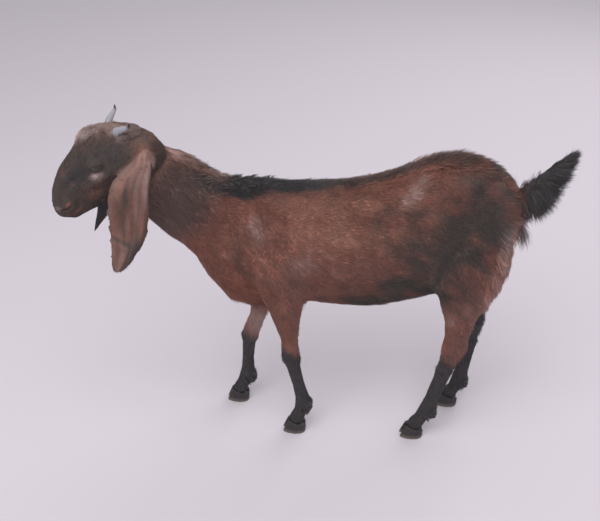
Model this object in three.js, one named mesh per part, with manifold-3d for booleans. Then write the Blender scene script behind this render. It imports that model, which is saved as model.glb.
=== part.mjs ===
// A young lop-eared goat at life size: it stands on four feet with its head turned a little to its left.
// Frame: +X towards the head, +Y to the goat's left, +Z up, in millimetres.
// The origin is on the floor, under the middle of the whole goat.
// Every body part is a loft: rings of points set along a path, whose sizes reach out to the tips of the coat.
import * as THREE from 'three';
import { mergeVertices } from 'three/addons/utils/BufferGeometryUtils.js';
import Module from 'manifold-3d';

const wasm = await Module();
wasm.setup();

// ---------------------------------------------------------------- driving dimensions
const GAP = 0.4; // clear space left between two neighbouring pieces
const SMALLEST_STEP = 0.2; // a cut leaves no edge shorter than about this
const LEFT = 1;
const RIGHT = -1;

const CROUP_HEIGHT = 562;
const WITHERS_HEIGHT = 519;
const BELLY_HEIGHT = 283;
const BARREL_HALF = 77; // half the width of the belly
const HIP_HALF = 66;
const CHEST_HALF = 62;

const POLL = new THREE.Vector3(249, 20, 608); // top of the head behind the horns
const HEAD_PITCH = 38; // degrees, nose below level
const HEAD_YAW = 24; // degrees, turned to the left
const HEAD_ROLL = -5; // degrees, left side down
const HEAD_LENGTH = 180;
const EYE_RADIUS = 11.5;
const EYE_CENTRE = new THREE.Vector3(77, 32, 30); // in the head's own frame

const EAR_DROP = 181; // from the root of the ear down to its tip
const EAR_HALF_WIDTH = 36;
const EAR_THICKNESS = 5;

const CLAW_HEIGHT = 24;
const CLAW_HALF_LENGTH = 22;
const CLAW_WIDTH = 15.5;
const CLEFT = 2.4; // gap between the two claws of a foot

const COLOURS = {
  coat: 0x6b4338,
  neck: 0x5c3c34,
  black: 0x26211f,
  ear: 0x7a544a,
  horn: 0x8f8a86,
  hoof: 0x2c2825,
  eye: 0x241a10,
};

// ---------------------------------------------------------------- small helpers
const radians = THREE.MathUtils.degToRad;
const finish = (colour, roughness = 0.85) =>
  new THREE.MeshStandardMaterial({ color: colour, roughness, metalness: 0 });

const goat = new THREE.Group();

function addNode(name, geometry, colour, roughness) {
  const mesh = new THREE.Mesh(geometry, finish(colour, roughness));
  mesh.name = name;
  goat.add(mesh);
  return mesh;
}

// A geometry whose faces share their corners.
function welded(geometry) {
  const bare = geometry.clone();
  bare.deleteAttribute('normal');
  bare.deleteAttribute('uv');
  return mergeVertices(bare, 1e-3);
}

// A geometry as a solid that can be joined and cut.
function solidOf(geometry) {
  const merged = welded(geometry);
  return new wasm.Manifold(
    new wasm.Mesh({
      numProp: 3,
      vertProperties: new Float32Array(merged.attributes.position.array),
      triVerts: new Uint32Array(merged.index.array),
    }),
  );
}

// The largest piece of a solid, as a geometry: slivers that a cut leaves behind are dropped.
function geometryOf(solid) {
  const pieces = solid.decompose();
  const largest = pieces.reduce((best, piece) => (piece.volume() > best.volume() ? piece : best));
  const mesh = largest.asOriginal().simplify(SMALLEST_STEP).getMesh();
  const geometry = new THREE.BufferGeometry();
  geometry.setAttribute('position', new THREE.BufferAttribute(new Float32Array(mesh.vertProperties), 3));
  geometry.setIndex(new THREE.BufferAttribute(new Uint32Array(mesh.triVerts), 1));
  geometry.computeVertexNormals();
  return geometry;
}

// The space that a piece needs: its own shape with a thin clear layer all round.
function spaceFor(geometry) {
  const larger = welded(geometry);
  larger.computeVertexNormals();
  const { position, normal } = larger.attributes;
  for (let i = 0; i < position.count; i++) {
    const corner = new THREE.Vector3().fromBufferAttribute(position, i);
    const away = new THREE.Vector3().fromBufferAttribute(normal, i);
    position.setXYZ(i, ...corner.addScaledVector(away, GAP * 1.3));
  }
  return solidOf(larger).add(solidOf(geometry));
}

// The same shape on the other side of the body, its faces still pointing out.
function mirrored(geometry) {
  const other = geometry.clone().scale(1, -1, 1);
  const index = other.index.array;
  for (let i = 0; i < index.length; i += 3) [index[i + 1], index[i + 2]] = [index[i + 2], index[i + 1]];
  return other;
}

// A closed surface over a row of rings with the same number of points, a fan closing each end.
function skinOver(rings) {
  const sides = rings[0].length;
  const middle = (ring) => ring.reduce((sum, p) => sum.add(p), new THREE.Vector3()).divideScalar(sides);
  const points = [...rings.flat(), middle(rings[0]), middle(rings.at(-1))];
  const startPole = points.length - 2;
  const endPole = points.length - 1;
  const lastRing = (rings.length - 1) * sides;
  const faces = [];
  for (let s = 0; s < sides; s++) {
    const next = (s + 1) % sides;
    for (let r = 0; r < lastRing; r += sides) {
      const [a, b, c, d] = [r + s, r + next, r + sides + s, r + sides + next];
      faces.push(a, d, b, a, c, d);
    }
    faces.push(startPole, s, next);
    faces.push(endPole, lastRing + next, lastRing + s);
  }
  const geometry = new THREE.BufferGeometry().setFromPoints(points);
  geometry.setIndex(faces);
  geometry.computeVertexNormals();
  return geometry;
}

// Stations along a body part, made into many smooth ones.
// A station has its centre {x, y, z}, its reach to the front or top (fore), to the back or underside (aft) and
// to each side (half), how far its plane is turned (pitch, yaw in degrees), how boxy it is (square, 2 for an
// ellipse) and how much narrower its front is than its back (taper).
const FIELDS = ['x', 'y', 'z', 'fore', 'aft', 'half', 'pitch', 'yaw', 'square', 'taper'];
const PLAIN = { y: 0, pitch: 0, yaw: 0, square: 2, taper: 0 };

function spread(stations, perSpan) {
  const curves = [0, 3, 6, 9].map((first) => {
    const names = FIELDS.slice(first, first + 3);
    const values = stations.map((s) => names.map((n) => ({ ...PLAIN, ...s })[n] ?? 0));
    while (values[0].length < 3) values.forEach((v) => v.push(0));
    return new THREE.CatmullRomCurve3(
      values.map((v) => new THREE.Vector3(...v)),
      false,
      'catmullrom',
      0.5,
    );
  });
  const steps = (stations.length - 1) * perSpan;
  return Array.from({ length: steps + 1 }, (_, i) => {
    const all = curves.flatMap((curve) => curve.getPoint(i / steps).toArray());
    return Object.fromEntries(FIELDS.map((name, k) => [name, all[k]]));
  });
}

// The ring of one station.
function ovalRing(station, sides) {
  const { pitch, yaw, square, taper } = station;
  const centre = new THREE.Vector3(station.x, station.y, station.z);
  const turn = new THREE.Euler(0, radians(-pitch), radians(yaw), 'ZYX');
  const front = new THREE.Vector3(0, 0, 1).applyEuler(turn);
  const side = new THREE.Vector3(0, 1, 0).applyEuler(turn);
  const bulge = (value) => Math.sign(value) * Math.abs(value) ** (2 / square);
  return Array.from({ length: sides }, (_, i) => {
    const angle = (2 * Math.PI * i) / sides;
    const forward = bulge(Math.cos(angle));
    const sideways = bulge(Math.sin(angle)) * (1 - taper * Math.cos(angle));
    return centre
      .clone()
      .addScaledVector(front, forward * (forward > 0 ? station.fore : station.aft))
      .addScaledVector(side, sideways * station.half);
  });
}

function loft(stations, { sides, perSpan, shape = (p) => p }) {
  const rings = spread(stations, perSpan).map((station) => ovalRing(station, sides).map(shape));
  return skinOver(rings);
}

// ---------------------------------------------------------------- trunk and neck
// A trunk station stands upright; it is given by its height on the back and under the belly.
const upright = (x, back, belly, half, taper) => ({
  x,
  z: (back + belly) / 2,
  fore: (back - belly) / 2,
  aft: (back - belly) / 2,
  half,
  taper,
  square: 2.15,
});

const trunkStations = [
  { x: -368, z: 446, fore: 10, aft: 12, half: 8 },
  upright(-360, 486, 402, 30, 0),
  upright(-338, 523, 356, 48, 0.05),
  upright(-300, 551, 322, 60, 0.1),
  upright(-250, CROUP_HEIGHT, 306, HIP_HALF, 0.15),
  upright(-190, 549, 291, 71, 0.15),
  upright(-130, 527, BELLY_HEIGHT - 3, BARREL_HALF, 0.16),
  upright(-65, 516, BELLY_HEIGHT + 1, BARREL_HALF, 0.16),
  upright(0, 515, BELLY_HEIGHT + 6, 72, 0.18),
  upright(62, WITHERS_HEIGHT, BELLY_HEIGHT - 5, CHEST_HALF, 0.24),
];
const neckStations = [
  { x: 110, z: 410, fore: 112, aft: 121, half: 50, pitch: 8, taper: 0.3 },
  { x: 152, y: 1, z: 447, fore: 80, aft: 73, half: 43, pitch: 26, yaw: 3, taper: 0.2 },
  { x: 184, y: 4, z: 476, fore: 69, aft: 69, half: 38, pitch: 36, yaw: 8, taper: 0.1 },
  { x: 214, y: 10, z: 508, fore: 62, aft: 64, half: 34, pitch: 40, yaw: 14, taper: 0.05 },
  { x: 240, y: 17, z: 537, fore: 54, aft: 57, half: 33, pitch: 36, yaw: 20 },
  { x: 262, y: 26, z: 560, fore: 38, aft: 44, half: 27, pitch: 25, yaw: 24 },
  { x: 275, y: 32, z: 568, fore: 18, aft: 20, half: 14, pitch: 20, yaw: 24 },
];
const body = solidOf(loft([...trunkStations, ...neckStations], { sides: 20, perSpan: 2 }));

// ---------------------------------------------------------------- head
const headGroup = new THREE.Group();
headGroup.position.copy(POLL);
headGroup.rotation.set(radians(HEAD_ROLL), radians(HEAD_PITCH), radians(HEAD_YAW), 'ZYX');
headGroup.updateMatrixWorld(true);
const inHead = (geometry) => geometry.clone().applyMatrix4(headGroup.matrixWorld);

// In the head's frame +X runs from the poll to the muzzle. A station is given by its top and its underside.
const crossHead = (x, top, under, half, taper = 0, square = 2.2) => ({
  x,
  z: (top + under) / 2,
  fore: (top - under) / 2,
  aft: (top - under) / 2,
  half,
  taper,
  square,
});

const headStations = [
  { x: -12, z: -24, fore: 12, aft: 14, half: 12 },
  crossHead(-4, 6, -58, 30, 0),
  crossHead(14, 31, -72, 39, 0),
  crossHead(34, 51, -72, 41, 0.08, 2.3),
  crossHead(56, 60, -67, 42, 0.1, 2.3),
  crossHead(80, 58, -60, 41, 0.12, 2.2),
  crossHead(104, 54, -52, 33, 0.06, 2.2),
  crossHead(128, 47, -42, 26.5, 0, 2.3),
  crossHead(150, 36, -32, 23, 0, 2.4),
  crossHead(166, 23, -23, 19, 0, 2.4),
  crossHead(176, 10, -14, 12, 0, 2.3),
  { x: HEAD_LENGTH, z: -3, fore: 5, aft: 5, half: 6 },
];

// Rises and hollows of the head: each pushes the surface sideways around one place, on both sides at once.
const headForms = [
  { name: 'forehead', at: [52, 0, 62], reach: 22, push: [0, 0, 4.5] },
  { name: 'brow', at: [72, 35, 46], reach: 15, push: [0, 5, 3] },
  { name: 'eye hollow', at: [99, 30, 28], reach: 14, push: [0, -3, 0] },
  { name: 'cheek bone', at: [88, 38, 4], reach: 18, push: [0, 3, 0] },
  { name: 'cheek', at: [48, 38, -38], reach: 32, push: [0, 5, 0] },
  { name: 'throat', at: [14, 20, -70], reach: 26, push: [0, -6, 6] },
  { name: 'mouth corner', at: [140, 26, -12], reach: 15, push: [0, -2.5, 0] },
  { name: 'upper lip', at: [162, 19, 6], reach: 12, push: [0, 2.5, 0] },
  { name: 'nostril', at: [162, 16, 20], reach: 10, push: [0, 1.5, 1] },
  { name: 'chin', at: [160, 12, -26], reach: 13, push: [1, 1, -2] },
];

function shapeHead(point) {
  const shaped = point.clone();
  const side = Math.sign(point.y) || 1;
  for (const { at, reach, push } of headForms) {
    const distance = Math.hypot(point.x - at[0], Math.abs(point.y) - at[1], point.z - at[2]);
    const weight = Math.exp(-((distance / reach) ** 2));
    shaped.x += push[0] * weight;
    shaped.y += push[1] * weight * side;
    shaped.z += push[2] * weight;
  }
  return shaped;
}

const headLoft = loft(headStations, { sides: 22, perSpan: 2, shape: shapeHead });

// A thin lens laid across the muzzle, bent down at its sides, which parts the lips.
function mouthSlit() {
  const slit = new THREE.SphereGeometry(1, 18, 4);
  slit.rotateX(radians(90));
  slit.scale(30, 34, 0.9);
  const corners = slit.attributes.position;
  for (let i = 0; i < corners.count; i++) corners.setZ(i, corners.getZ(i) - 0.25 * Math.abs(corners.getY(i)));
  slit.rotateY(radians(-20));
  slit.translate(171, 0, 14);
  return slit;
}

// A slanting oval hole at each side of the nose.
function nostril(side) {
  const hole = new THREE.SphereGeometry(1, 8, 5);
  hole.scale(7, 4.5, 2.4);
  hole.rotateY(radians(40));
  hole.translate(164, side * 12.5, 22.5);
  return hole;
}

// ---------------------------------------------------------------- horns, eyes and ears, in the head's frame
function hornLoft(side) {
  const stations = [
    { x: 28, y: side * 14, z: 29, fore: 8, aft: 8.5, half: 7, pitch: 175 },
    { x: 22, y: side * 18.5, z: 37, fore: 7.2, aft: 7.6, half: 6.2, pitch: 180 },
    { x: 14, y: side * 24.5, z: 37.5, fore: 5.8, aft: 6.2, half: 5, pitch: 180 },
    { x: 7, y: side * 30, z: 36.8, fore: 4.4, aft: 4.8, half: 4, pitch: 178 },
    { x: 1.5, y: side * 34.5, z: 36.8, fore: 3, aft: 3.2, half: 2.7, pitch: 155 },
    { x: -2.8, y: side * 36.5, z: 41.5, fore: 1.2, aft: 1.2, half: 1.2, pitch: 125 },
  ];
  return loft(stations, { sides: 8, perSpan: 2 });
}

function eyeBall(side) {
  const ball = new THREE.SphereGeometry(EYE_RADIUS, 12, 9);
  ball.translate(EYE_CENTRE.x, side * EYE_CENTRE.y, EYE_CENTRE.z);
  return ball;
}

// The ear hangs along -Z from its root. A station says how far down it is (drop), how far forward and out its
// middle lies, how wide it is (half), how deep it is cupped (cup) and how thick its blade is.
const earRoot = [
  { drop: -12, forward: 0, out: -14, half: 7, cup: 0, thick: 9 },
  { drop: -4, forward: 1, out: -8, half: 12, cup: 3, thick: 13 },
  { drop: 8, forward: 6, out: 2, half: 18, cup: 7, thick: 12 },
];
const earStations = {
  [LEFT]: [
    ...earRoot,
    { drop: 26, forward: 24, out: 12, half: 32, cup: 7, thick: 9 },
    { drop: 48, forward: 32, out: 17, half: 36, cup: 7, thick: 7 },
    { drop: 80, forward: 36.5, out: 18, half: EAR_HALF_WIDTH, cup: 7, thick: EAR_THICKNESS },
    { drop: 115, forward: 40.5, out: 19, half: 34, cup: 5, thick: EAR_THICKNESS },
    { drop: 142, forward: 46, out: 19, half: 30, cup: 3, thick: EAR_THICKNESS },
    { drop: 163, forward: 56, out: 19, half: 21.5, cup: 1, thick: EAR_THICKNESS },
    { drop: 175, forward: 62, out: 19, half: 14, cup: 0, thick: 4.5 },
    { drop: EAR_DROP, forward: 65, out: 19, half: 6, cup: 0, thick: 4 },
  ],
  // The right ear's rear edge is drawn in near the tip, so that it ends in a point.
  [RIGHT]: [
    ...earRoot,
    { drop: 26, forward: 21, out: 12, half: 29, cup: 7, thick: 9 },
    { drop: 48, forward: 29, out: 17, half: 34, cup: 7, thick: 7 },
    { drop: 80, forward: 31, out: 18, half: 34, cup: 7, thick: EAR_THICKNESS },
    { drop: 115, forward: 36, out: 19, half: 27, cup: 5, thick: EAR_THICKNESS },
    { drop: 142, forward: 49, out: 19, half: 17, cup: 3, thick: EAR_THICKNESS },
    { drop: 163, forward: 62.5, out: 19, half: 8.5, cup: 1, thick: EAR_THICKNESS },
    { drop: 175, forward: 70, out: 19, half: 3.8, cup: 0, thick: 4 },
    { drop: EAR_DROP, forward: 74, out: 19, half: 1.2, cup: 0, thick: 3 },
  ],
};
const EAR_POINTS = 7; // points across each face of the blade

// extra makes the blade a little larger all round, for the space it needs in the head.
function earRings(stations, extra) {
  const through = (values) => new THREE.CatmullRomCurve3(values, false, 'catmullrom', 0.5);
  const spine = through(stations.map((s) => new THREE.Vector3(s.forward, s.out, -s.drop)));
  const section = through(stations.map((s) => new THREE.Vector3(s.half, s.cup, s.thick)));
  const steps = stations.length + 3;
  return Array.from({ length: steps + 1 }, (_, i) => {
    const centre = spine.getPoint(i / steps);
    if (i === 0) centre.z += extra;
    const { x: half, y: cup, z: thick } = section.getPoint(i / steps);
    const face = (across, sign) => {
      const depth = sign * (thick * 0.5 * Math.sqrt(1 - across ** 2 * 0.9) + extra);
      return new THREE.Vector3(across * (half + extra), cup * (0.6 - across ** 2) + depth, 0).add(centre);
    };
    const outer = Array.from({ length: EAR_POINTS }, (_, k) => face(1 - (2 * k) / EAR_POINTS, 1));
    const inner = Array.from({ length: EAR_POINTS }, (_, k) => face((2 * k) / EAR_POINTS - 1, -1));
    return [...outer, ...inner];
  });
}

const EAR_ROOT = new THREE.Vector3(17, 40, -12);
// How far each ear swings forward of hanging straight down and flares out from the head, in degrees.
const EAR_POSES = { [LEFT]: { swing: 0, flare: -HEAD_ROLL }, [RIGHT]: { swing: -2, flare: 3 } };

function earBlade(side, extra = 0) {
  const { swing, flare } = EAR_POSES[side];
  const ear = skinOver(earRings(earStations[side], extra));
  ear.rotateY(radians(-HEAD_PITCH - swing));
  ear.rotateX(radians(flare));
  ear.translate(EAR_ROOT.x, EAR_ROOT.y, EAR_ROOT.z);
  return side === LEFT ? ear : mirrored(ear);
}

// ---------------------------------------------------------------- legs
// A leg is a loft down through five centres. Its girths are placed by how many centres down they are.
function legStations(centres, girths) {
  const path = new THREE.CatmullRomCurve3(
    centres.map((c) => new THREE.Vector3(...c)),
    false,
    'catmullrom',
    0.5,
  );
  const spans = centres.length - 1;
  return girths.map(({ down, fore, aft, half, level = 0.5, square = 2 }) => {
    const centre = path.getPoint(down / spans);
    const along = path.getTangent(down / spans);
    const lean = THREE.MathUtils.radToDeg(Math.atan2(along.z, along.x));
    return { ...centre, fore, aft, half, square, pitch: THREE.MathUtils.lerp(lean, -90, level) };
  });
}

const foreGirths = [
  { down: 0, fore: 20, aft: 20, half: 8, level: 1 },
  { down: 0.2, fore: 40, aft: 42, half: 17, level: 1 },
  { down: 0.45, fore: 54, aft: 54, half: 24, level: 1 },
  { down: 0.68, fore: 60, aft: 52, half: 25, level: 1 },
  { down: 0.86, fore: 50, aft: 41, half: 22, level: 1 },
  { down: 1, fore: 42, aft: 34, half: 19, level: 1 },
  { down: 1.3, fore: 32, aft: 22, half: 16 },
  { down: 1.65, fore: 20, aft: 17, half: 13 },
  { down: 1.85, fore: 20, aft: 18, half: 13.5 },
  { down: 2, fore: 20, aft: 17, half: 14, square: 2.3 },
  { down: 2.2, fore: 14.5, aft: 13.5, half: 11.5 },
  { down: 2.55, fore: 12.5, aft: 12.5, half: 10 },
  { down: 2.85, fore: 13, aft: 15, half: 12 },
  { down: 3, fore: 14, aft: 18, half: 14.5 },
  { down: 3.35, fore: 13.5, aft: 14, half: 14 },
  { down: 3.75, fore: 15, aft: 14.5, half: 16 },
  { down: 4, fore: 14, aft: 13, half: 14 },
];
const hindGirths = [
  { down: 0, fore: 28, aft: 26, half: 8, level: 1 },
  { down: 0.25, fore: 54, aft: 50, half: 20, level: 1 },
  { down: 0.5, fore: 66, aft: 70, half: 28, level: 1 },
  { down: 0.78, fore: 67, aft: 75, half: 30, level: 1 },
  { down: 1, fore: 58, aft: 65, half: 28, level: 1 },
  { down: 1.28, fore: 42, aft: 46, half: 22, level: 1 },
  { down: 1.55, fore: 29, aft: 31, half: 16, level: 0.8 },
  { down: 1.8, fore: 23, aft: 28, half: 14, level: 0.8 },
  { down: 2, fore: 22, aft: 31, half: 14.5, level: 0.8, square: 2.2 },
  { down: 2.2, fore: 18, aft: 23, half: 12.5 },
  { down: 2.45, fore: 14, aft: 17.5, half: 10.5 },
  { down: 2.8, fore: 13, aft: 16, half: 11.5 },
  { down: 3, fore: 14, aft: 18, half: 14.5 },
  { down: 3.35, fore: 13.5, aft: 14, half: 14 },
  { down: 3.75, fore: 15, aft: 14.5, half: 16 },
  { down: 4, fore: 14, aft: 13, half: 14 },
];

// Centres down each leg: top, elbow or stifle, knee or hock, fetlock, coronet. foot is where the sole stands.
const legs = [
  {
    name: 'left_fore', side: LEFT, girths: foreGirths, joint: 2.02, bones: ['upper', 'shin'],
    centres: [[64, 30, 472], [23, 48, 312], [15, 38, 183], [-4, 30, 72], [8, 28, 22]],
    foot: [10, 28],
  },
  {
    name: 'right_fore', side: RIGHT, girths: foreGirths, joint: 2.02, bones: ['upper', 'shin'],
    centres: [[68, -30, 472], [48, -50, 308], [92, -50, 170], [104, -58, 68], [120, -61, 22]],
    foot: [122, -62],
  },
  {
    name: 'left_hind', side: LEFT, girths: hindGirths, joint: 2.3, bones: ['thigh', 'shank'],
    centres: [[-282, 27, 508], [-278, 46, 345], [-268, 48, 210], [-236, 44, 68], [-214, 43, 22]],
    foot: [-211, 43],
  },
  {
    name: 'right_hind', side: RIGHT, girths: hindGirths, joint: 2.3, bones: ['thigh', 'shank'],
    centres: [[-284, -27, 508], [-284, -46, 345], [-319, -47, 205], [-310, -47, 64], [-293, -47, 22]],
    foot: [-290, -47],
  },
];

// One claw of a cloven hoof, standing on the floor at the origin with its toe towards +X.
function clawGeometry() {
  const levels = [0, 0.3, 0.7, 1];
  const rings = levels.map((level) => {
    const halfLength = CLAW_HALF_LENGTH - 5 * level;
    const middle = 1 - 5.5 * level;
    const width = CLAW_WIDTH - 2 * level;
    return Array.from({ length: 12 }, (_, i) => {
      const angle = (-2 * Math.PI * i) / 12;
      const along = Math.cos(angle);
      const widest = Math.sqrt(Math.max(0, 1 - along ** 2)) * (1 - 0.22 * along);
      const outwards = Math.sin(angle) > 0 ? widest * width * 0.72 : -widest * width * 0.28;
      const lift = level * (CLAW_HEIGHT - 3 + 5 * along);
      return new THREE.Vector3(
        middle + along * halfLength,
        CLEFT / 2 + width * 0.28 + outwards,
        lift,
      );
    });
  });
  return skinOver(rings);
}

// One dewclaw: a blunt little horn that points back and down from the fetlock.
function dewclawGeometry() {
  const cone = new THREE.CylinderGeometry(5, 2, 13, 9);
  cone.rotateZ(radians(-38));
  return cone;
}

const feet = [];
for (const leg of legs) {
  const fetlock = leg.centres[3];
  for (const side of [LEFT, RIGHT]) {
    const sideName = side === LEFT ? 'left' : 'right';
    const place = (geometry, x, y, z) => (side === LEFT ? geometry : mirrored(geometry)).translate(x, y, z);
    const claw = place(clawGeometry(), leg.foot[0], leg.foot[1], 0);
    const dewclaw = place(dewclawGeometry(), fetlock[0] - 15, fetlock[1] + side * 8.5, fetlock[2] - 12);
    feet.push({ leg: leg.name, name: `${leg.name}_${sideName}_claw`, geometry: claw });
    feet.push({ leg: leg.name, name: `${leg.name}_${sideName}_dewclaw`, geometry: dewclaw });
  }
}

// ---------------------------------------------------------------- tail
// The tail is carried up and back; its long hair hangs behind it as a broad fringe.
const tailStations = [
  { x: -441, z: 562, fore: 4, aft: 4, half: 2, pitch: -45 },
  { x: -431, z: 555, fore: 8, aft: 18, half: 6, pitch: -42 },
  { x: -416, z: 542, fore: 9, aft: 37, half: 10, pitch: -37, taper: -0.2 },
  { x: -395, z: 518, fore: 9, aft: 60, half: 13, pitch: -28, taper: -0.3 },
  { x: -377, z: 498, fore: 9, aft: 78, half: 14, pitch: -18, taper: -0.3 },
  { x: -362, z: 487, fore: 9, aft: 85, half: 13, pitch: -11, taper: -0.2 },
  { x: -350, z: 480, fore: 8, aft: 40, half: 12, pitch: -8 },
  { x: -340, z: 474, fore: 6, aft: 8, half: 6, pitch: -8 },
];
const tailLoft = loft(tailStations, { sides: 10, perSpan: 2 });

// ---------------------------------------------------------------- parting the body
// Where the neck ends and the trunk begins: a slanting plane in front of the shoulders.
const neckRoot = { normal: new THREE.Vector3(1, 0, 0.32).normalize(), point: new THREE.Vector3(150, 0, 350) };
const halves = (solid, normal, point) => {
  const offset = normal.dot(point);
  const n = normal.toArray();
  const front = solid.splitByPlane(n, offset + GAP / 2)[0];
  const back = solid.splitByPlane(n, offset - GAP / 2)[1];
  return [front, back];
};

const [neckPart, trunkPart] = halves(body, neckRoot.normal, neckRoot.point);

let trunk = trunkPart.subtract(spaceFor(tailLoft));
let neck = neckPart.subtract(spaceFor(inHead(headLoft)));
for (const leg of legs) {
  const whole = loft(legStations(leg.centres, leg.girths), { sides: 14, perSpan: 1 });
  trunk = trunk.subtract(spaceFor(whole));
  neck = neck.subtract(spaceFor(whole));
  let flesh = solidOf(whole);
  for (const piece of feet.filter((f) => f.leg === leg.name)) flesh = flesh.subtract(spaceFor(piece.geometry));
  const path = new THREE.CatmullRomCurve3(leg.centres.map((c) => new THREE.Vector3(...c)), false, 'catmullrom', 0.5);
  const [lower, upper] = halves(flesh, path.getTangent(leg.joint / 4), path.getPoint(leg.joint / 4));
  addNode(`${leg.name}_${leg.bones[0]}`, geometryOf(upper), COLOURS.coat);
  addNode(`${leg.name}_${leg.bones[1]}`, geometryOf(lower), COLOURS.black);
}
for (const piece of feet) addNode(piece.name, piece.geometry, COLOURS.hoof, 0.5);

addNode('trunk', geometryOf(trunk), COLOURS.coat);
addNode('tail', tailLoft, COLOURS.black);

// ---------------------------------------------------------------- the head's pieces
let head = solidOf(headLoft).subtract(solidOf(mouthSlit()));
for (const [side, sideName] of [[LEFT, 'left'], [RIGHT, 'right']]) {
  const [eye, horn, ear] = [eyeBall(side), hornLoft(side), earBlade(side)];
  head = head.subtract(solidOf(nostril(side)));
  for (const piece of [eye, horn]) head = head.subtract(spaceFor(piece));
  const wider = earBlade(side, GAP * 1.2);
  head = head.subtract(spaceFor(ear)).subtract(solidOf(wider));
  neck = neck.subtract(spaceFor(inHead(ear))).subtract(solidOf(inHead(wider)));
  addNode(`${sideName}_eye`, inHead(eye), COLOURS.eye, 0.1);
  addNode(`${sideName}_horn`, inHead(horn), COLOURS.horn, 0.45);
  addNode(`${sideName}_ear`, inHead(ear), COLOURS.ear);
}
addNode('neck', geometryOf(neck), COLOURS.neck);
addNode('head', inHead(geometryOf(head)), COLOURS.neck);

// ---------------------------------------------------------------- the origin: on the floor, under the middle
const box = new THREE.Box3().setFromObject(goat);
const middle = box.getCenter(new THREE.Vector3());
goat.position.set(-middle.x, -middle.y, 0);

export default goat;
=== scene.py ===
# %% [markdown]
# # A lop-eared goat
# This scene dresses a goat whose main solids come ready made: trunk, neck, head, legs, ears, tail, horns,
# eyes and hooves. Each solid reaches out to the tips of the hair. Here they get one skin with no seams, a
# coat of solid hair, wet eyes, ringed horns and worn hooves. Everything is in metres, X runs towards the
# head and Z is up.

# %% Load the solids
from math import radians

import bmesh
import bpy
import numpy as np
from mathutils import Matrix, Vector
from mathutils.bvhtree import BVHTree
from mathutils.kdtree import KDTree


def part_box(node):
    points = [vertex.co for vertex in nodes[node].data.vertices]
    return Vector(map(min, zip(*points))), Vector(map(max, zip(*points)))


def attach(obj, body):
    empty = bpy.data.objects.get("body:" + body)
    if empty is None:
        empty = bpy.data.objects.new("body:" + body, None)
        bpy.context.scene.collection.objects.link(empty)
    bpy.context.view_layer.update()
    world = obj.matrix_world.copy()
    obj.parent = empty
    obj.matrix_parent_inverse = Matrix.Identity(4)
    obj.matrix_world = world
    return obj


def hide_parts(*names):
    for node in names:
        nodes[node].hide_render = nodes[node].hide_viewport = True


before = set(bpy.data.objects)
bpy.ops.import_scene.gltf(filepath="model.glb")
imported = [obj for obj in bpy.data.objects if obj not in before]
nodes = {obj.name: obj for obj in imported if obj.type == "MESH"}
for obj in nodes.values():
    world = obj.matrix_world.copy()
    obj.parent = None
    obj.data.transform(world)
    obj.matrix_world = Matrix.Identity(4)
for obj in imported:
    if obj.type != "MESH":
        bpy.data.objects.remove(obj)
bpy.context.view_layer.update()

MM = 0.001
scene = bpy.context.scene
print("solids:", len(nodes))

# %% [markdown]
# ## Camera, floor and light
# The goat is seen from its left side and from above. A plain pale floor keeps the shadow and a large soft
# lamp high on the camera's side stands for an open sky, so that each colour shows about as it is written. A
# wide low lamp on the other side lifts the shadows under the belly.

# %% Camera
# It stands 1.2 m to the goat's left and 1.1 m up, looks down by 32 degrees and takes in 40 degrees across.
camera = bpy.data.objects.new("camera", bpy.data.cameras.new("camera"))
scene.collection.objects.link(camera)
camera.location = (0.0292, 1.1965, 1.118)
camera.rotation_euler = (radians(58), 0, radians(180))
camera.data.sensor_width = 36
camera.data.lens = 49.8
scene.camera = camera
print("camera at", tuple(camera.location))


# %% Colours and nodes
def linear(hex_colour):
    """An sRGB colour such as #6b433e as the linear RGBA that shaders use."""
    parts = [int(hex_colour[i:i + 2], 16) / 255 for i in (1, 3, 5)]
    bent = [c / 12.92 if c <= 0.04045 else ((c + 0.055) / 1.055) ** 2.4 for c in parts]
    return (*bent, 1.0)


def new_material(name, **constants):
    """A node material with one Principled shader, whose constants are set on its own sockets."""
    material = bpy.data.materials.new(name)
    material.use_nodes = True
    tree = material.node_tree
    tree.nodes.clear()
    shader = tree.nodes.new("ShaderNodeBsdfPrincipled")
    out = tree.nodes.new("ShaderNodeOutputMaterial")
    tree.links.new(shader.outputs["BSDF"], out.inputs["Surface"])
    for socket, value in constants.items():
        shader.inputs[socket.replace("_", " ")].default_value = value
    return material, tree, shader


def add(tree, kind, settings=None, **inputs):
    """Adds a node. Each input is a value, or an output socket to link.

    i0 names the first input, and From_Min the one called From Min.
    """
    node = tree.nodes.new(kind)
    for name, value in (settings or {}).items():
        setattr(node, name, value)
    for name, value in inputs.items():
        key = int(name[1:]) if name[1:].isdigit() else name.replace("_", " ")
        socket = node.inputs[key]
        if isinstance(value, bpy.types.NodeSocket):
            tree.links.new(value, socket)
        else:
            socket.default_value = value
    return node


def layered(tree, base, layers):
    """Lays colours over a base colour, each by its own factor, and returns the colour socket."""
    colour = linear(base)
    for hex_colour, factor in layers:
        mix = add(tree, "ShaderNodeMix", {"data_type": "RGBA"}, i0=factor, i6=colour, i7=linear(hex_colour))
        colour = mix.outputs[2]
    return colour


print("the floor's grey in linear light:", round(linear("#dcd5dd")[0], 3))

# %% Floor and lamps
floor_mesh = bpy.data.meshes.new("floor")
bm = bmesh.new()
bmesh.ops.create_grid(bm, x_segments=1, y_segments=1, size=6)
bm.to_mesh(floor_mesh)
bm.free()
floor = bpy.data.objects.new("floor", floor_mesh)
scene.collection.objects.link(floor)
floor_finish, tree, shader = new_material("plain pale floor", Base_Color=linear("#dcd5dd"), Roughness=0.9)
floor_mesh.materials.append(floor_finish)


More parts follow.
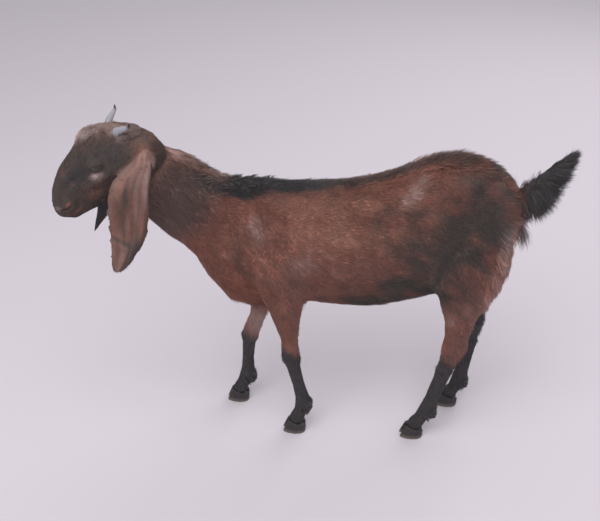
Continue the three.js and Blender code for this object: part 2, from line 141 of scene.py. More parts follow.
def lamp(name, place, aim, size, watts):
    """A square lamp at place, turned to aim."""
    data = bpy.data.lights.new(name, "AREA")
    data.size = size
    data.energy = watts
    thing = bpy.data.objects.new(name, data)
    thing.location = place
    thing.rotation_euler = (Vector(aim) - Vector(place)).to_track_quat("-Z", "Y").to_euler()
    scene.collection.objects.link(thing)


lamp("sky", (0.5, 1.6, 3.0), (0, 0, 0.3), 2.4, 62)
lamp("far sky", (-1.6, -1.8, 2.2), (0, 0, 0.3), 2.0, 22)
world = bpy.data.worlds.new("even sky")
scene.world = world
world.use_nodes = True
world.node_tree.nodes["Background"].inputs["Color"].default_value = linear("#f4f2f6")
world.node_tree.nodes["Background"].inputs["Strength"].default_value = 0.55
scene.view_settings.view_transform = "Standard"
print("floor, 2 lamps and an even sky")

# %% [markdown]
# ## The head's own frame
# The head is turned, so its forms are easier to place in a frame of its own: X from the poll to the muzzle,
# Y to the goat's left and Z up out of the forehead. The two eyes fix that frame, because each sits at a
# known place in it.

# %% Head frame
HEAD_TURN = (
    Matrix.Rotation(radians(24), 3, "Z")
    @ Matrix.Rotation(radians(38), 3, "Y")
    @ Matrix.Rotation(radians(-5), 3, "X")
)
EYE = (77, 32, 30)
EYE_RADIUS = 11.5 * MM


def middle(node):
    """The centre of a solid's box."""
    low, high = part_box(node)
    return (low + high) / 2


POLL = middle("left_eye") - HEAD_TURN @ (Vector(EYE) * MM)
TURN = np.array(HEAD_TURN)


def to_head(points):
    """Points of the room in the head's frame, in millimetres."""
    return (points - np.array(POLL)) @ TURN / MM


def from_head(place):
    """A place in the head's frame, in millimetres, as a point of the room."""
    return POLL + HEAD_TURN @ (Vector(place) * MM)


def one_sided(points):
    """The points, with those on the right moved to the same places on the left."""
    return np.stack([points[:, 0], np.abs(points[:, 1]), points[:, 2]], 1)


print("poll at", tuple(round(v, 4) for v in POLL))
eyes = {side: from_head((EYE[0], EYE[1] * side, EYE[2])) for side in (1, -1)}
print("right eye off by", round((eyes[-1] - middle("right_eye")).length / MM, 3), "mm")

# %% [markdown]
# ## One skin
# On the real animal one skin runs over trunk, neck, head and legs. A single mesh could be drawn by hand,
# but the solids already have the right proportions. So copies of them are swollen by 0.6 mm until they
# overlap, and a voxel remesh wraps them in one closed surface. The tail is an exception: its solid is
# mostly hair, so the skin gets a slim bony core there, and the hair comes later.

# %% Mesh helpers
def put(name, mesh):
    """A new object that shows a mesh."""
    thing = bpy.data.objects.new(name, mesh)
    scene.collection.objects.link(thing)
    return thing


def settle(thing):
    """Turns an object's modifiers into plain mesh."""
    graph = bpy.context.evaluated_depsgraph_get()
    made = bpy.data.meshes.new_from_object(thing.evaluated_get(graph))
    old = thing.data
    thing.modifiers.clear()
    thing.data = made
    made.name = old.name
    bpy.data.meshes.remove(old)


def read(items, field, width, kind=float):
    """One field of a mesh's vertices, edges or loops as an array with rows of that width."""
    values = np.empty(len(items) * width, kind)
    items.foreach_get(field, values)
    return values.reshape(-1, width)


def places(mesh):
    """The vertices of a mesh."""
    return read(mesh.vertices, "co", 3)


def normals(mesh):
    """The vertex normals of a mesh."""
    return read(mesh.vertex_normals, "vector", 3)


def move_to(mesh, points):
    """Moves the vertices of a mesh."""
    mesh.vertices.foreach_set("co", points.astype(np.float32).ravel())
    mesh.update()


def store(mesh, name, kind, values):
    """Keeps a value for each vertex on the mesh, where its material can read it."""
    field = {"FLOAT": "value", "FLOAT_VECTOR": "vector", "FLOAT_COLOR": "color"}[kind]
    mesh.attributes.new(name, kind, "POINT").data.foreach_set(field, values.astype(np.float32).ravel())


def tube(bm, stations, sides):
    """Extrudes a ring through stations of (place, way, half width, half height) and closes both ends."""
    poses = []
    for place, way, wide, high in stations:
        turned = Vector(way).to_track_quat("Z", "Y").to_matrix().to_4x4()
        poses.append(Matrix.Translation(place) @ turned @ Matrix.Diagonal((wide, high, 1, 1)))
    ring = bmesh.ops.create_circle(bm, cap_ends=True, segments=sides, radius=1, matrix=poses[0])["verts"]
    edges = list({e for v in ring for e in v.link_edges})
    for here, there in zip(poses, poses[1:]):
        made = bmesh.ops.extrude_edge_only(bm, edges=edges)["geom"]
        edges = [g for g in made if isinstance(g, bmesh.types.BMEdge)]
        ring = [g for g in made if isinstance(g, bmesh.types.BMVert)]
        bmesh.ops.transform(bm, matrix=there @ here.inverted(), verts=ring)
    bmesh.ops.edgeloop_fill(bm, edges=edges)
    bmesh.ops.recalc_face_normals(bm, faces=bm.faces)


print("mesh helpers: read, move, store and tube")

# %% Gather the flesh
HARD = ("claw", "horn", "eye")
FLESH = sorted(n for n in nodes if not any(word in n for word in HARD))
# The solids are parted by thin gaps, which this closes.
SWELL = 0.6 * MM
gathered = bmesh.new()
for name in FLESH:
    if name == "tail":
        continue
    part = bmesh.new()
    part.from_mesh(nodes[name].data)
    bmesh.ops.remove_doubles(part, verts=part.verts, dist=1e-6)
    part.normal_update()
    for v in part.verts:
        v.co += v.normal * SWELL
    copied = bpy.data.meshes.new("copied")
    part.to_mesh(copied)
    part.free()
    gathered.from_mesh(copied)
    bpy.data.meshes.remove(copied)
print("flesh:", len(FLESH), "solids,", len(gathered.faces), "faces")

# %% The tail's core
tail_low, tail_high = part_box("tail")
TAIL_TIP = Vector((tail_low.x, (tail_low.y + tail_high.y) / 2, tail_high.z))
# Each bend of the core: how far forward of and above the hair's tip it lies, and its radius, in millimetres.
TAIL_BENDS = [
    (118, -98, 12), (92, -80, 10.5), (82, -77, 8.5), (67, -66, 7.5),
    (49, -46, 6.5), (28, -22, 4.5), (17, -13, 2.5),
]
core = [TAIL_TIP + Vector((x, 0, z)) * MM for x, z, _ in TAIL_BENDS]
tube(
    gathered,
    [
        (at, core[min(i + 1, len(core) - 1)] - core[max(i - 1, 0)], r * MM, r * MM)
        for i, (at, (_, _, r)) in enumerate(zip(core, TAIL_BENDS))
    ],
    12,
)
print("tail core bends:", len(core))

# %% Lid swellings
LID = 2.2 * MM
for at in eyes.values():
    bmesh.ops.create_uvsphere(
        gathered, u_segments=32, v_segments=20, radius=EYE_RADIUS + LID, matrix=Matrix.Translation(at)
    )
skin_mesh = bpy.data.meshes.new("skin")
gathered.to_mesh(skin_mesh)
gathered.free()
skin = put("skin", skin_mesh)
print("gathered faces:", len(skin_mesh.polygons))

# %% Wrap them in one surface
VOXEL = 1.5 * MM
wrap = skin.modifiers.new("wrap", "REMESH")
wrap.mode = "VOXEL"
wrap.voxel_size = VOXEL
settle(skin)
print("wrapped:", len(skin.data.vertices), "vertices")

# %% Finer mesh at the muzzle and eyes
bm = bmesh.new()
bm.from_mesh(skin.data)
centres = one_sided(to_head(np.array([f.calc_center_median()[:] for f in bm.faces])))
fine = (centres[:, 0] > 140) | (np.linalg.norm(centres - EYE, axis=1) < 24)
fine &= (centres[:, 1] < 60) & (centres[:, 2] > -45)
bm.edges.ensure_lookup_table()
edges = list({e for f, inside in zip(bm.faces, fine) if inside for e in f.edges})
bmesh.ops.subdivide_edges(bm, edges=edges, cuts=1, use_grid_fill=True)
bm.to_mesh(skin.data)
bm.free()
print("finer faces:", int(fine.sum()), "now", len(skin.data.vertices), "vertices")

# %% [markdown]
# ## From swollen copies to a real skin
# The wrapped surface still shows the flat facets and the creases between the solids, and it stands where
# the tips of the hair should be. Three passes mend that. Each vertex learns which solid it came from, the
# body is relaxed until the creases melt while the head and ears stay crisp, and then the surface sinks by
# the depth of the coat.

# %% Which solid each point belongs to
REGIONS = {
    "trunk": ["trunk"],
    "neck": ["neck"],
    "head": ["head"],
    "ear": ["left_ear", "right_ear"],
    "arm": ["left_fore_upper", "right_fore_upper"],
    "thigh": ["left_hind_thigh", "right_hind_thigh"],
    "shin": ["left_fore_shin", "right_fore_shin"],
    "shank": ["left_hind_shank", "right_hind_shank"],
    "tail": ["tail"],
}
NAMES = list(REGIONS)
corners, triangles, owner = [], [], []
for number, members in enumerate(REGIONS.values()):
    for member in members:
        first = len(corners)
        corners += [v.co.copy() for v in nodes[member].data.vertices]
        triangles += [[first + i for i in p.vertices] for p in nodes[member].data.polygons]
        owner += [number] * len(nodes[member].data.polygons)
solids_tree = BVHTree.FromPolygons(corners, triangles)
owner = np.array(owner)


def one_hot(points):
    """A row for each point with a 1 under the solid that it lies nearest to."""
    nearest = owner[[solids_tree.find_nearest(p)[2] for p in points.tolist()]]
    return np.eye(len(NAMES))[nearest]


def edge_list(mesh):
    """The two ends of each edge of a mesh."""
    return read(mesh.edges, "vertices", 2, np.int64)


def around(field, ends):
    """The mean of the neighbours' values, for each vertex."""
    count = np.bincount(ends.ravel(), minlength=len(field))
    here, there = ends.T
    sums = [
        np.bincount(here, column[there], len(field)) + np.bincount(there, column[here], len(field))
        for column in field.T
    ]
    return np.stack(sums, 1) / np.maximum(count, 1)[:, None]


def by_region(weights, **values):
    """One number for each point, from a value for each region."""
    return weights @ np.array([values[name] for name in NAMES])


points = places(skin.data)
ends = edge_list(skin.data)
weights = one_hot(points)
for _ in range(10):
    weights = around(weights, ends)
print({name: int(w) for name, w in zip(NAMES, weights.sum(0))})

# %% Drop the bubbles between solids
label = np.arange(len(points))
while True:
    two = label[ends]
    low, high = two.min(1), two.max(1)
    if (low == high).all():
        break
    np.minimum.at(label, high, low)
    label = label[label[label]]
largest = np.bincount(label).argmax()
bm = bmesh.new()
bm.from_mesh(skin.data)
bm.verts.ensure_lookup_table()
strays = [bm.verts[i] for i in np.nonzero(label != largest)[0]]
bmesh.ops.delete(bm, geom=strays, context="VERTS")
bm.to_mesh(skin.data)
bm.free()
kept = label == largest
weights = weights[kept]
points = places(skin.data)
ends = edge_list(skin.data)
print("bubbles dropped:", len(strays), "vertices")

# %% Relax and sink
eye_gap = np.linalg.norm(one_sided(to_head(points)) - EYE, axis=1)
near_eye = np.exp(-((eye_gap / 19) ** 4))
softness = by_region(
    weights, trunk=1, neck=0.9, head=0.2, ear=0.12, arm=0.8, thigh=0.9, shin=0.2, shank=0.2, tail=0.2
)
softness = (softness * (1 - 0.8 * near_eye))[:, None]
for _ in range(60):
    points += 0.5 * softness * (around(points, ends) - points)
move_to(skin.data, points)
# The depth of the coat over each region, in millimetres.
depth = by_region(
    weights, trunk=5, neck=5, head=1.2, ear=0.1, arm=3.5, thigh=4.5, shin=1.7, shank=1.7, tail=0
)
facing = normals(skin.data)
# Along the crest of the neck the hair lies closer.
depth *= 1 - 0.6 * weights[:, NAMES.index("neck")] * np.clip(1.6 * facing[:, 2] - 0.6, 0, 1)
depth = depth * (1 - 0.75 * near_eye) + SWELL / MM * (1 - weights[:, NAMES.index("tail")])
points -= facing * depth[:, None] * MM
move_to(skin.data, points)
print("mean depth of the coat:", round(depth.mean(), 2), "mm")

# %% [markdown]
# ## Forms under the hair
# A goat is bony: brow, cheek bone, jaw muscle, shoulder blade, ribs, hip and hock all show. Sculpting by
# hand can't be repeated, so each form is a soft push at a named place, with a reach and a direction in
# millimetres. The lips are a groove along a bent plane, and the ears get the long ridges that the gristle
# makes.

# %% Soft edges and pushes
def bell(value, width):
    """1 where value is 0, falling softly to 0 past width on both sides."""
    return np.exp(-((value / width) ** 2))


def spot(points, place, reach):
    """1 at a place, falling softly to 0 past its reach (one number or three)."""
    return np.exp(-(((points - place) / reach) ** 2).sum(1))


def push(points, out, place, reach, by):
    """Moves points near a place. by is a distance along the surface's own way out, or a vector."""
    way = out * by if np.isscalar(by) else np.array(by)
    return points + spot(points, place, reach)[:, None] * way


def sides(points, out, place, reach, by):
    """The same push on the left and on the right of the middle plane."""
    x, y, z = place
    far = by if np.isscalar(by) else (by[0], -by[1], by[2])
    points = push(points, out, (x, y, z), reach, by)
    return push(points, out, (x, -y, z), reach, far)


print("places are pushed with a soft edge, on one side or both")

# %% Forms of the head
# Each form: its place and reach in the head's frame, and the push.
HEAD_FORMS = [
    ("brow", (74, 38, 45), (17, 7, 5), (0, 2.0, 0.6)),
    ("brow's back end", (57, 39, 35), (8, 7, 8), (0, 1.4, 0)),
    ("temple", (46, 38, 28), (9, 10, 9), (0, -2.2, 0)),
    ("tear pit", (95, 34, 20), (6, 8, 4), (0, -2.4, 0)),
    ("cheek bone", (92, 39, 8), (22, 10, 4.5), (0, 1.9, 0)),
    ("below the cheek bone", (98, 36, -6), (22, 12, 8), (0, -2.8, 0)),
    ("jaw muscle", (46, 40, -34), (20, 14, 18), (0, 1.6, 0)),
    ("groove before the jaw muscle", (74, 36, -36), (5, 14, 16), (0, -1.8, 0)),
    ("jaw bar", (100, 24, -46), (24, 9, 5), (0, 1.0, -0.8)),
    ("side of the nose", (128, 22, 30), (22, 8, 7), (0, -2.4, -0.6)),
    ("bridge of the nose", (126, 0, 50), (30, 9, 9), (0, 0, 1.2)),
    ("hollow behind the nostril", (149, 20, 22), (7, 8, 6), (0, -1.8, 0)),
    ("wing of the nostril", (158, 18, 27), (4.5, 6, 3.5), (0, 1.7, 0.9)),
    ("upper lip", (160, 21, 13), (10, 8, 4), (0.4, 1.6, 0)),
    ("corner of the mouth", (142, 25, -4), (5, 8, 4), (0, -1.8, 0)),
    ("lower lip", (163, 17, -3), (9, 8, 5), (0.3, 1.2, 0)),
    ("chin", (166, 8, -24), (7, 8, 5), (0.8, 0.4, -1.2)),
    ("forehead", (58, 0, 60), (20, 22, 12), (0, 0, 1.4)),
    ("dip before the forehead", (92, 0, 58), (12, 16, 10), (0, 0, -0.6)),
]
own = np.nonzero(weights[:, NAMES.index("head")] + weights[:, NAMES.index("ear")] > 0.02)[0]
local = to_head(points[own])
out = normals(skin.data)[own] @ TURN
for name, place, reach, by in HEAD_FORMS:
    local = sides(local, out, place, reach, by)
print("head forms:", len(HEAD_FORMS))

# %% Lips and nostrils
LIP_TILT = np.array(Matrix.Rotation(radians(-20), 3, "Y"))


def to_lips(head_points):
    """How high above the line of the lips each point lies (mm), and how far out (1 at the line's ends)."""
    lip = (head_points - (171, 0, 14)) @ LIP_TILT
    return lip[:, 2] + 0.25 * np.abs(lip[:, 1]), np.hypot(lip[:, 0] / 31, lip[:, 1] / 34)


height, outward = to_lips(local)
inside = np.clip(4 * (1 - outward), 0, 1)
groove = inside * bell(height, 1.0)
roll = inside * (bell(height - 3.6, 2.2) + bell(height + 3.6, 2.2))
local += out * (0.8 * roll - 3.0 * groove)[:, None]
local = push(local, out, (175, 0, 17), (4, 1.1, 5), (-1.4, 0, 0))
# Each nostril is a comma-shaped slit that runs back, up and out from near the middle of the nose.
for place in ((167.5, 8.5, 21.5), (165.5, 11, 23.2), (163, 13.5, 24.6), (160, 15.5, 25.4)):
    local = sides(local, out, place, (2.0, 2.2, 1.3), (-1.6, -1.6, -1.3))
print("mouth line points:", int((groove > 0.5).sum()))

# %% The ears' own frame
EAR_ROOT = (17, 40, -12)
# How many degrees the left ear (1) and the right one (-1) swing forward and flare out.
EAR_HANG = {1: (0, 5), -1: (-2, 3)}
EAR_DROPS = [-12, -4, 8, 26, 48, 80, 115, 142, 163, 175, 181]
# How far forward an ear's middle lies and half its width, at each drop. The right ear ends in a point.
EAR_FORWARD = {
    1: [0, 1, 6, 24, 32, 36.5, 40.5, 46, 56, 62, 65],
    -1: [0, 1, 6, 21, 29, 31, 36, 49, 62.5, 70, 74],
}
EAR_HALF = {
    1: [7, 12, 18, 32, 36, 36, 34, 30, 21.5, 14, 6],
    -1: [7, 12, 18, 29, 34, 34, 27, 17, 8.5, 3.8, 1.2],
}


def ear_turn(side):
    """The turn from an ear's own frame, where it hangs along -Z, to the head's frame."""
    swing, flare = EAR_HANG[side]
    return np.array(Matrix.Rotation(radians(flare), 3, "X") @ Matrix.Rotation(radians(-38 - swing), 3, "Y"))


def to_ear(head_points, side):
    """How far down the ear (mm), how far across (-1 rear edge, 1 front edge) and the points in its frame."""
    mine = (head_points * (1, side, 1) - EAR_ROOT) @ ear_turn(side)
    drop = -mine[:, 2]
    ahead = mine[:, 0] - np.interp(drop, EAR_DROPS, EAR_FORWARD[side])
    return drop, ahead / np.interp(drop, EAR_DROPS, EAR_HALF[side]), mine


def off_ridge(drop, across, at):
    """How far across an ear each point lies from a ridge. The ridges draw together towards the tip."""
    return across - at * np.clip(1.25 - drop / 400, 0, 1)


def below_fold(drop, across):
    """How far below the fold of the left ear's tip each point lies, in millimetres."""
    return drop - (142 - 25 * across)


print("ear lengths:", EAR_DROPS[-1], "mm")

# %% Ridges and folds of the ears
# Each ridge: how far across it lies, its width and its height in millimetres.
EAR_RIDGES = [
    (-0.62, 0.10, 1.5), (-0.28, 0.08, 1.2), (0.06, 0.09, 1.3), (0.42, 0.10, 0.9), (0.75, 0.08, -0.7),
]
ear_share = weights[own, NAMES.index("ear")]
for side in (1, -1):
    drop, across, mine = to_ear(local, side)
    shape = sum(size * bell(off_ridge(drop, across, at), wide) for at, wide, size in EAR_RIDGES)
    length = np.clip((drop - 4) / 30, 0, 1) * np.clip((152 - drop) / 40, 0, 1)
    fold = below_fold(drop, across)
    folded = np.clip((drop - 108) / 12, 0, 1) * (side > 0)
    curl = 3.0 / (1 + np.exp(-fold / 1.6)) * folded
    crease = -1.5 * bell(fold + 3, 2.6) * folded
    wave = 1.6 * np.sin(drop / 17 + 1.2 * side) * np.clip(across ** 2 - 0.3, 0, 1)
    amount = (shape * length + curl + crease + wave) * ear_share * (side * local[:, 1] > 0)
    mine[:, 1] += amount
    moved = (mine @ ear_turn(side).T + EAR_ROOT) * (1, side, 1)
    local = np.where((side * local[:, 1] > 0)[:, None], moved, local)
points[own] = local @ TURN.T * MM + np.array(POLL)
print("ear points:", int((ear_share > 0.5).sum()))

# %% Forms of the body and legs
# Each form: its place and reach in millimetres, measured from the goat's middle plane, and the push outwards.
BODY_FORMS = [
    ("hip bone", (-158, 36, 510), (17, 12, 13), 2.6),
    ("hollow before the hip", (-118, 56, 482), (26, 22, 24), -3.2),
    ("flank", (-150, 64, 428), (28, 20, 34), -4.0),
    ("fold of the flank", (-182, 60, 372), (9, 14, 30), -2.5),
    ("pin bone", (-318, 26, 474), (13, 12, 13), 2.4),
    ("hollow before the pin bone", (-286, 46, 486), (18, 16, 18), -2.2),
    ("great muscle of the thigh", (-240, 66, 420), (30, 16, 46), 2.0),
    ("hamstring groove", (-292, 52, 398), (9, 14, 46), -3.0),
    ("gaskin", (-240, 60, 292), (16, 12, 26), 1.4),
    ("withers", (92, 12, 520), (26, 12, 10), 1.8),
    ("spine of the shoulder blade", (104, 40, 462), (9, 14, 34), 2.2),
    ("hollow behind the shoulder", (52, 62, 440), (18, 20, 46), -3.2),
    ("point of the shoulder", (140, 46, 398), (15, 14, 16), 2.2),
    ("breast groove", (150, 0, 350), (26, 8, 30), -2.5),
    ("upper arm", (70, 60, 372), (24, 14, 24), 1.8),
    ("elbow", (28, 52, 330), (11, 12, 12), 2.0),
    ("belly tuck", (-110, 30, 292), (50, 26, 14), -1.5),
]
KEEL = np.array((0, middle("trunk").y, 0)) / MM
room = points / MM - KEEL
out = normals(skin.data)
for name, place, reach, by in BODY_FORMS:
    room = sides(room, out, place, reach, by)
for rib in range(9):
    room = sides(room, out, (22 - 19 * rib, 72, 402 + 4 * rib), (6, 30, 52), -0.35)
room += KEEL
print("body forms:", len(BODY_FORMS), "and 9 ribs a side, about y =", round(KEEL[1], 2), "mm")

# %% Bones and tendons of the legs
# Bends of each leg's middle line, in millimetres from the middle of its foot: fetlock, knee or hock, and then
# elbow or stifle.
LEG_BENDS = {
    "left_fore": [(-14, 2, 72), (5, 10, 183), (13, 20, 312)],
    "right_fore": [(-18, 4, 68), (-30, 12, 170), (-74, 12, 308)],
    "left_hind": [(-25, 1, 68), (-57, 5, 210), (-67, 3, 345)],
    "right_hind": [(-20, 0, 64), (-29, 0, 205), (6, 1, 345)],
}


def foot(leg):
    """The middle of a leg's two claws, on the floor."""
    both = (middle(leg + "_left_claw") + middle(leg + "_right_claw")) / 2
    return np.array((both.x, both.y, 0)) / MM


leg_lines = {leg: np.array([(0, 0, 0)] + bends) + foot(leg) for leg, bends in LEG_BENDS.items()}
for leg, line in leg_lines.items():
    x, y, z = line[2]
    fx, fy, fz = line[1]
    shank = (line[1] + line[2]) / 2
    if "fore" in leg:
        room = push(room, out, (x + 14, y, z + 2), (9, 10, 13), 1.2)
        room = push(room, out, (x - 15, y, z - 4), (6, 8, 8), 1.2)
    else:
        room = push(room, out, (x - 16, y, z + 16), (8, 7, 12), 1.4)
        for turn in (-1, 1):
            room = push(room, out, (x - 8, y + 11 * turn, z + 42), (5, 5, 24), -1.6)
    for turn in (-1, 1):
        room = push(room, out, (shank[0] - 3, shank[1] + 9 * turn, shank[2]), (3, 5, 32), -1.1)
        room = push(room, out, (fx - 2, fy + 11 * turn, fz), (8, 5, 8), 0.8)
    room = push(room, out, (fx - 15, fy, fz + 2), (7, 9, 9), 1.2)
points = room * MM
rough_edge = 0.35 * weights[:, [NAMES.index("ear")]]
for _ in range(8):
    points += rough_edge * (around(points, ends) - points)
move_to(skin.data, points)
print("legs shaped:", list(leg_lines))

# %% Fewer triangles where the form is broad
# Short edges give way first, and the body, which the coat covers, gives way sooner than the face. Edges end
# up about four times as long on the body as on the head.
yielding = by_region(
    weights, trunk=0.87, neck=0.85, head=0.5, ear=0.6, arm=0.8, thigh=0.85, shin=0.7, shank=0.7, tail=0.7
)
KEPT_SHARE = 0.232
group = skin.vertex_groups.new(name="yielding")
steps = np.round(yielding * 50).astype(int)
for step in np.unique(steps):
    group.add(np.nonzero(steps == step)[0].tolist(), step / 50, "REPLACE")
thinner = skin.modifiers.new("thinner", "DECIMATE")
thinner.ratio = KEPT_SHARE
thinner.vertex_group = "yielding"
thinner.vertex_group_factor = 0.0002
settle(skin)
skin.vertex_groups.clear()
print("skin now:", len(skin.data.polygons), "faces")

# %% Even out the ears
# Thinning leaves their thin rims ragged. The rims relax first, and then steps in and out by turns even out
# the whole ear without shrinking it.
spots, skin_ends = places(skin.data), edge_list(skin.data)
on_ear, on_rim = np.zeros((2, len(spots)))
for side in (1, -1):
    drop, across, mine = to_ear(to_head(spots), side)
    near = (drop > 34) & (drop < 190) & (np.abs(across) < 1.3) & (mine[:, 1] > -8) & (mine[:, 1] < 40)
    on_ear = np.maximum(on_ear, near)
    on_rim = np.maximum(on_rim, near * np.clip((np.abs(across) - 0.78) / 0.12, 0, 1))
for _ in range(6):
    spots += 0.5 * on_rim[:, None] * (around(spots, skin_ends) - spots)
for _ in range(12):
    for pace in (0.6, -0.61):
        spots += pace * on_ear[:, None] * (around(spots, skin_ends) - spots)
move_to(skin.data, spots)
print("ear points evened:", int(on_ear.sum()))

# %% [markdown]
# ## Lids
# Lids are the skin's own edge round the eye. The swelling at each eye is hollowed to fit the eyeball with a
# hair's breadth to spare, and an almond-shaped opening is cut through it. The opening lies level with the
# ground, as a goat's does, with its front corner drawn out towards the tear pit. One boolean cut keeps the
# lids' rims crisp.

# %% Cutters
def almond(bm, at, way, ahead, sizes):
    """A prism on an almond outline, from inside the eyeball out along way. sizes: front, back, up, down."""
    front, back, up, down = sizes
    across = (ahead - ahead.dot(way) * way).normalized()
    above = way.cross(across)
    above = above if above.z > 0 else -above
    disc = bmesh.ops.create_circle(bm, cap_ends=True, segments=40, radius=1)["verts"]
    for v in disc:
        arch = max(0.0, 1 - abs(v.co.x) ** 1.7) ** 0.8
        tall = up * arch if v.co.y > 1e-6 else -down * arch if v.co.y < -1e-6 else 0
        v.co = Vector((v.co.x * (front if v.co.x > 0 else back), tall, 5)) * MM
    face = [f for f in disc[0].link_faces][0]
    rise = bmesh.ops.extrude_face_region(bm, geom=[face])["geom"]
    top = [g for g in rise if isinstance(g, bmesh.types.BMVert)]
    bmesh.ops.translate(bm, vec=(0, 0, 16 * MM), verts=top)
    axes = Matrix((across, above, way)).transposed().to_4x4()
    bmesh.ops.transform(bm, matrix=Matrix.Translation(at) @ axes, verts=disc + top)
    bmesh.ops.recalc_face_normals(bm, faces=bm.faces)


def carve(cutter_bm):
    """Cuts a closed form out of the skin."""
    cutter_mesh = bpy.data.meshes.new("cutter")
    cutter_bm.to_mesh(cutter_mesh)
    cutter_bm.free()
    cutter = put("cutter", cutter_mesh)
    cut = skin.modifiers.new("cut", "BOOLEAN")
    cut.operation = "DIFFERENCE"
    cut.solver = "MANIFOLD"
    cut.object = cutter
    settle(skin)
    bpy.data.objects.remove(cutter)


print("cutters: a ball and an almond prism")

# %% Hollow and open the lids
GAZE = {side: (HEAD_TURN @ Vector((0.12, side * 0.98, 0.12))).normalized() for side in (1, -1)}
FISSURE = HEAD_TURN @ Vector((0.93, 0, 0.36))
for side, at in eyes.items():
    bm = bmesh.new()
    bmesh.ops.create_uvsphere(
        bm, u_segments=48, v_segments=32, radius=EYE_RADIUS + 0.15 * MM, matrix=Matrix.Translation(at)
    )
    carve(bm)
    bm = bmesh.new()
    almond(bm, at, GAZE[side], FISSURE, (10.0, 9.0, 4.9, 4.5))
    carve(bm)
print("lids cut, skin now:", len(skin.data.polygons), "faces")

# %% Mend what thinning left
bm = bmesh.new()
bm.from_mesh(skin.data)
bmesh.ops.triangulate(bm, faces=bm.faces)
# Where two thin walls have been thinned onto one shared edge, its ends are cut out and the holes closed.
for _ in range(4):
    shared = {v for e in bm.edges if not e.is_manifold for v in e.verts}
    if not shared:
        break
    bmesh.ops.delete(bm, geom=list(shared), context="VERTS")
    bmesh.ops.holes_fill(bm, edges=[e for e in bm.edges if e.is_boundary], sides=0)
    bmesh.ops.triangulate(bm, faces=[f for f in bm.faces if len(f.verts) > 3])
print("open edges:", sum(1 for e in bm.edges if not e.is_manifold), "faces:", len(bm.faces))
bm.to_mesh(skin.data)
bm.free()
skin.data.shade_smooth()

# %% [markdown]
# ## The lie of the coat
# Hair doesn't stand anyhow: it runs back from the nose, down the neck, back and down over the ribs, down
# the legs, and along the ears to their tips. Each solid gives its part of the skin a main way, and relaxing
# those ways over the surface turns them into one smooth stream. The same trick gives each point its share
# of each region.

# %% Regions on the finished skin
def unit(vectors):
    """Vectors of length 1."""
    return vectors / np.maximum(np.linalg.norm(vectors, axis=1, keepdims=True), 1e-12)


points = places(skin.data)
out = normals(skin.data)
ends = edge_list(skin.data)
share = one_hot(points)
for _ in range(6):
    share = around(share, ends)
room = points / MM
body = room - KEEL
head = to_head(points)
SIDE = np.where(head[:, 1] > 0, 1, -1)
print("skin points:", len(points))

# %% The way of the hair
REGION_WAYS = {
    "trunk": (-1, 0, -0.25),
    "neck": (-0.74, 0, -0.68),
    "head": tuple(HEAD_TURN @ Vector((-1, 0, -0.12))),
    "ear": (0, 0, -1),
    "arm": (-0.3, 0, -1),
    "thigh": (-0.42, 0, -1),
    "shin": (0, 0, -1),
    "shank": (0, 0, -1),
    "tail": tuple((core[-1] - core[0]).normalized()),
}
ways = np.stack([np.tile(REGION_WAYS[name], (len(points), 1)) for name in NAMES], 1).astype(float)
for side in (1, -1):
    along_ear = TURN @ ((ear_turn(side) @ (0.12, 0, -1)) * (1, side, 1))
    ways[SIDE == side, NAMES.index("ear")] = along_ear
leg_of = np.zeros(len(points), int)
for number, (leg, line) in enumerate(leg_lines.items()):
    here = (body[:, 1] > 0) == ("left" in leg)
    here &= (body[:, 0] > -60) == ("fore" in leg)
    leg_of[here] = number
    rise = np.gradient(np.interp(np.arange(0, 350, 5), line[:, 2], line[:, 0]), 5)
    lean = np.interp(room[here, 2], np.arange(0, 350, 5), rise)
    for name in ("shin", "shank"):
        ways[here, NAMES.index(name)] = np.stack([-lean, 0 * lean, -np.ones(len(lean))], 1)
ways /= np.linalg.norm(ways, axis=2, keepdims=True)
lie = (share[:, :, None] * ways).sum(1)
for _ in range(12):
    lie = around(lie, ends)
lie = unit(lie - (lie * out).sum(1)[:, None] * out)


def mottle(points, size, seed):
    """Soft blotches about size millimetres wide, from -1 to 1."""
    waves = np.random.default_rng(seed).normal(size=(14, 3)) / size * 2.2
    shift = np.random.default_rng(seed + 1).uniform(0, 6.28, 14)
    return np.sin(points @ waves.T + shift).sum(1) / 3.7


# The stream wavers a little every few centimetres.
waver = 0.3 * mottle(room, 50, 41) + 0.2 * mottle(room, 18, 43)
lie = unit(lie + np.cross(out, lie) * (waver * (1 - 0.7 * share[:, NAMES.index("head")]))[:, None])
print("ways set for", len(lie), "points")

# %% Special places
def along_path(points, path):
    """The distance of each point from a bent line, in millimetres."""
    best = np.full(len(points), np.inf)
    for a, b in zip(np.array(path[:-1], float), np.array(path[1:], float)):
        t = np.clip(((points - a) @ (b - a)) / ((b - a) @ (b - a)), 0, 1)
        best = np.minimum(best, np.linalg.norm(points - a - t[:, None] * (b - a), axis=1))
    return best


def ramp(value, low, high):
    """0 below low, 1 above high and smooth between; low may be the larger."""
    t = np.clip((value - low) / (high - low), 0, 1)
    return t * t * (3 - 2 * t)


both = one_sided(body)
face = one_sided(head)


def region(name):
    """The share of a region at each point."""
    return share[:, NAMES.index(name)]


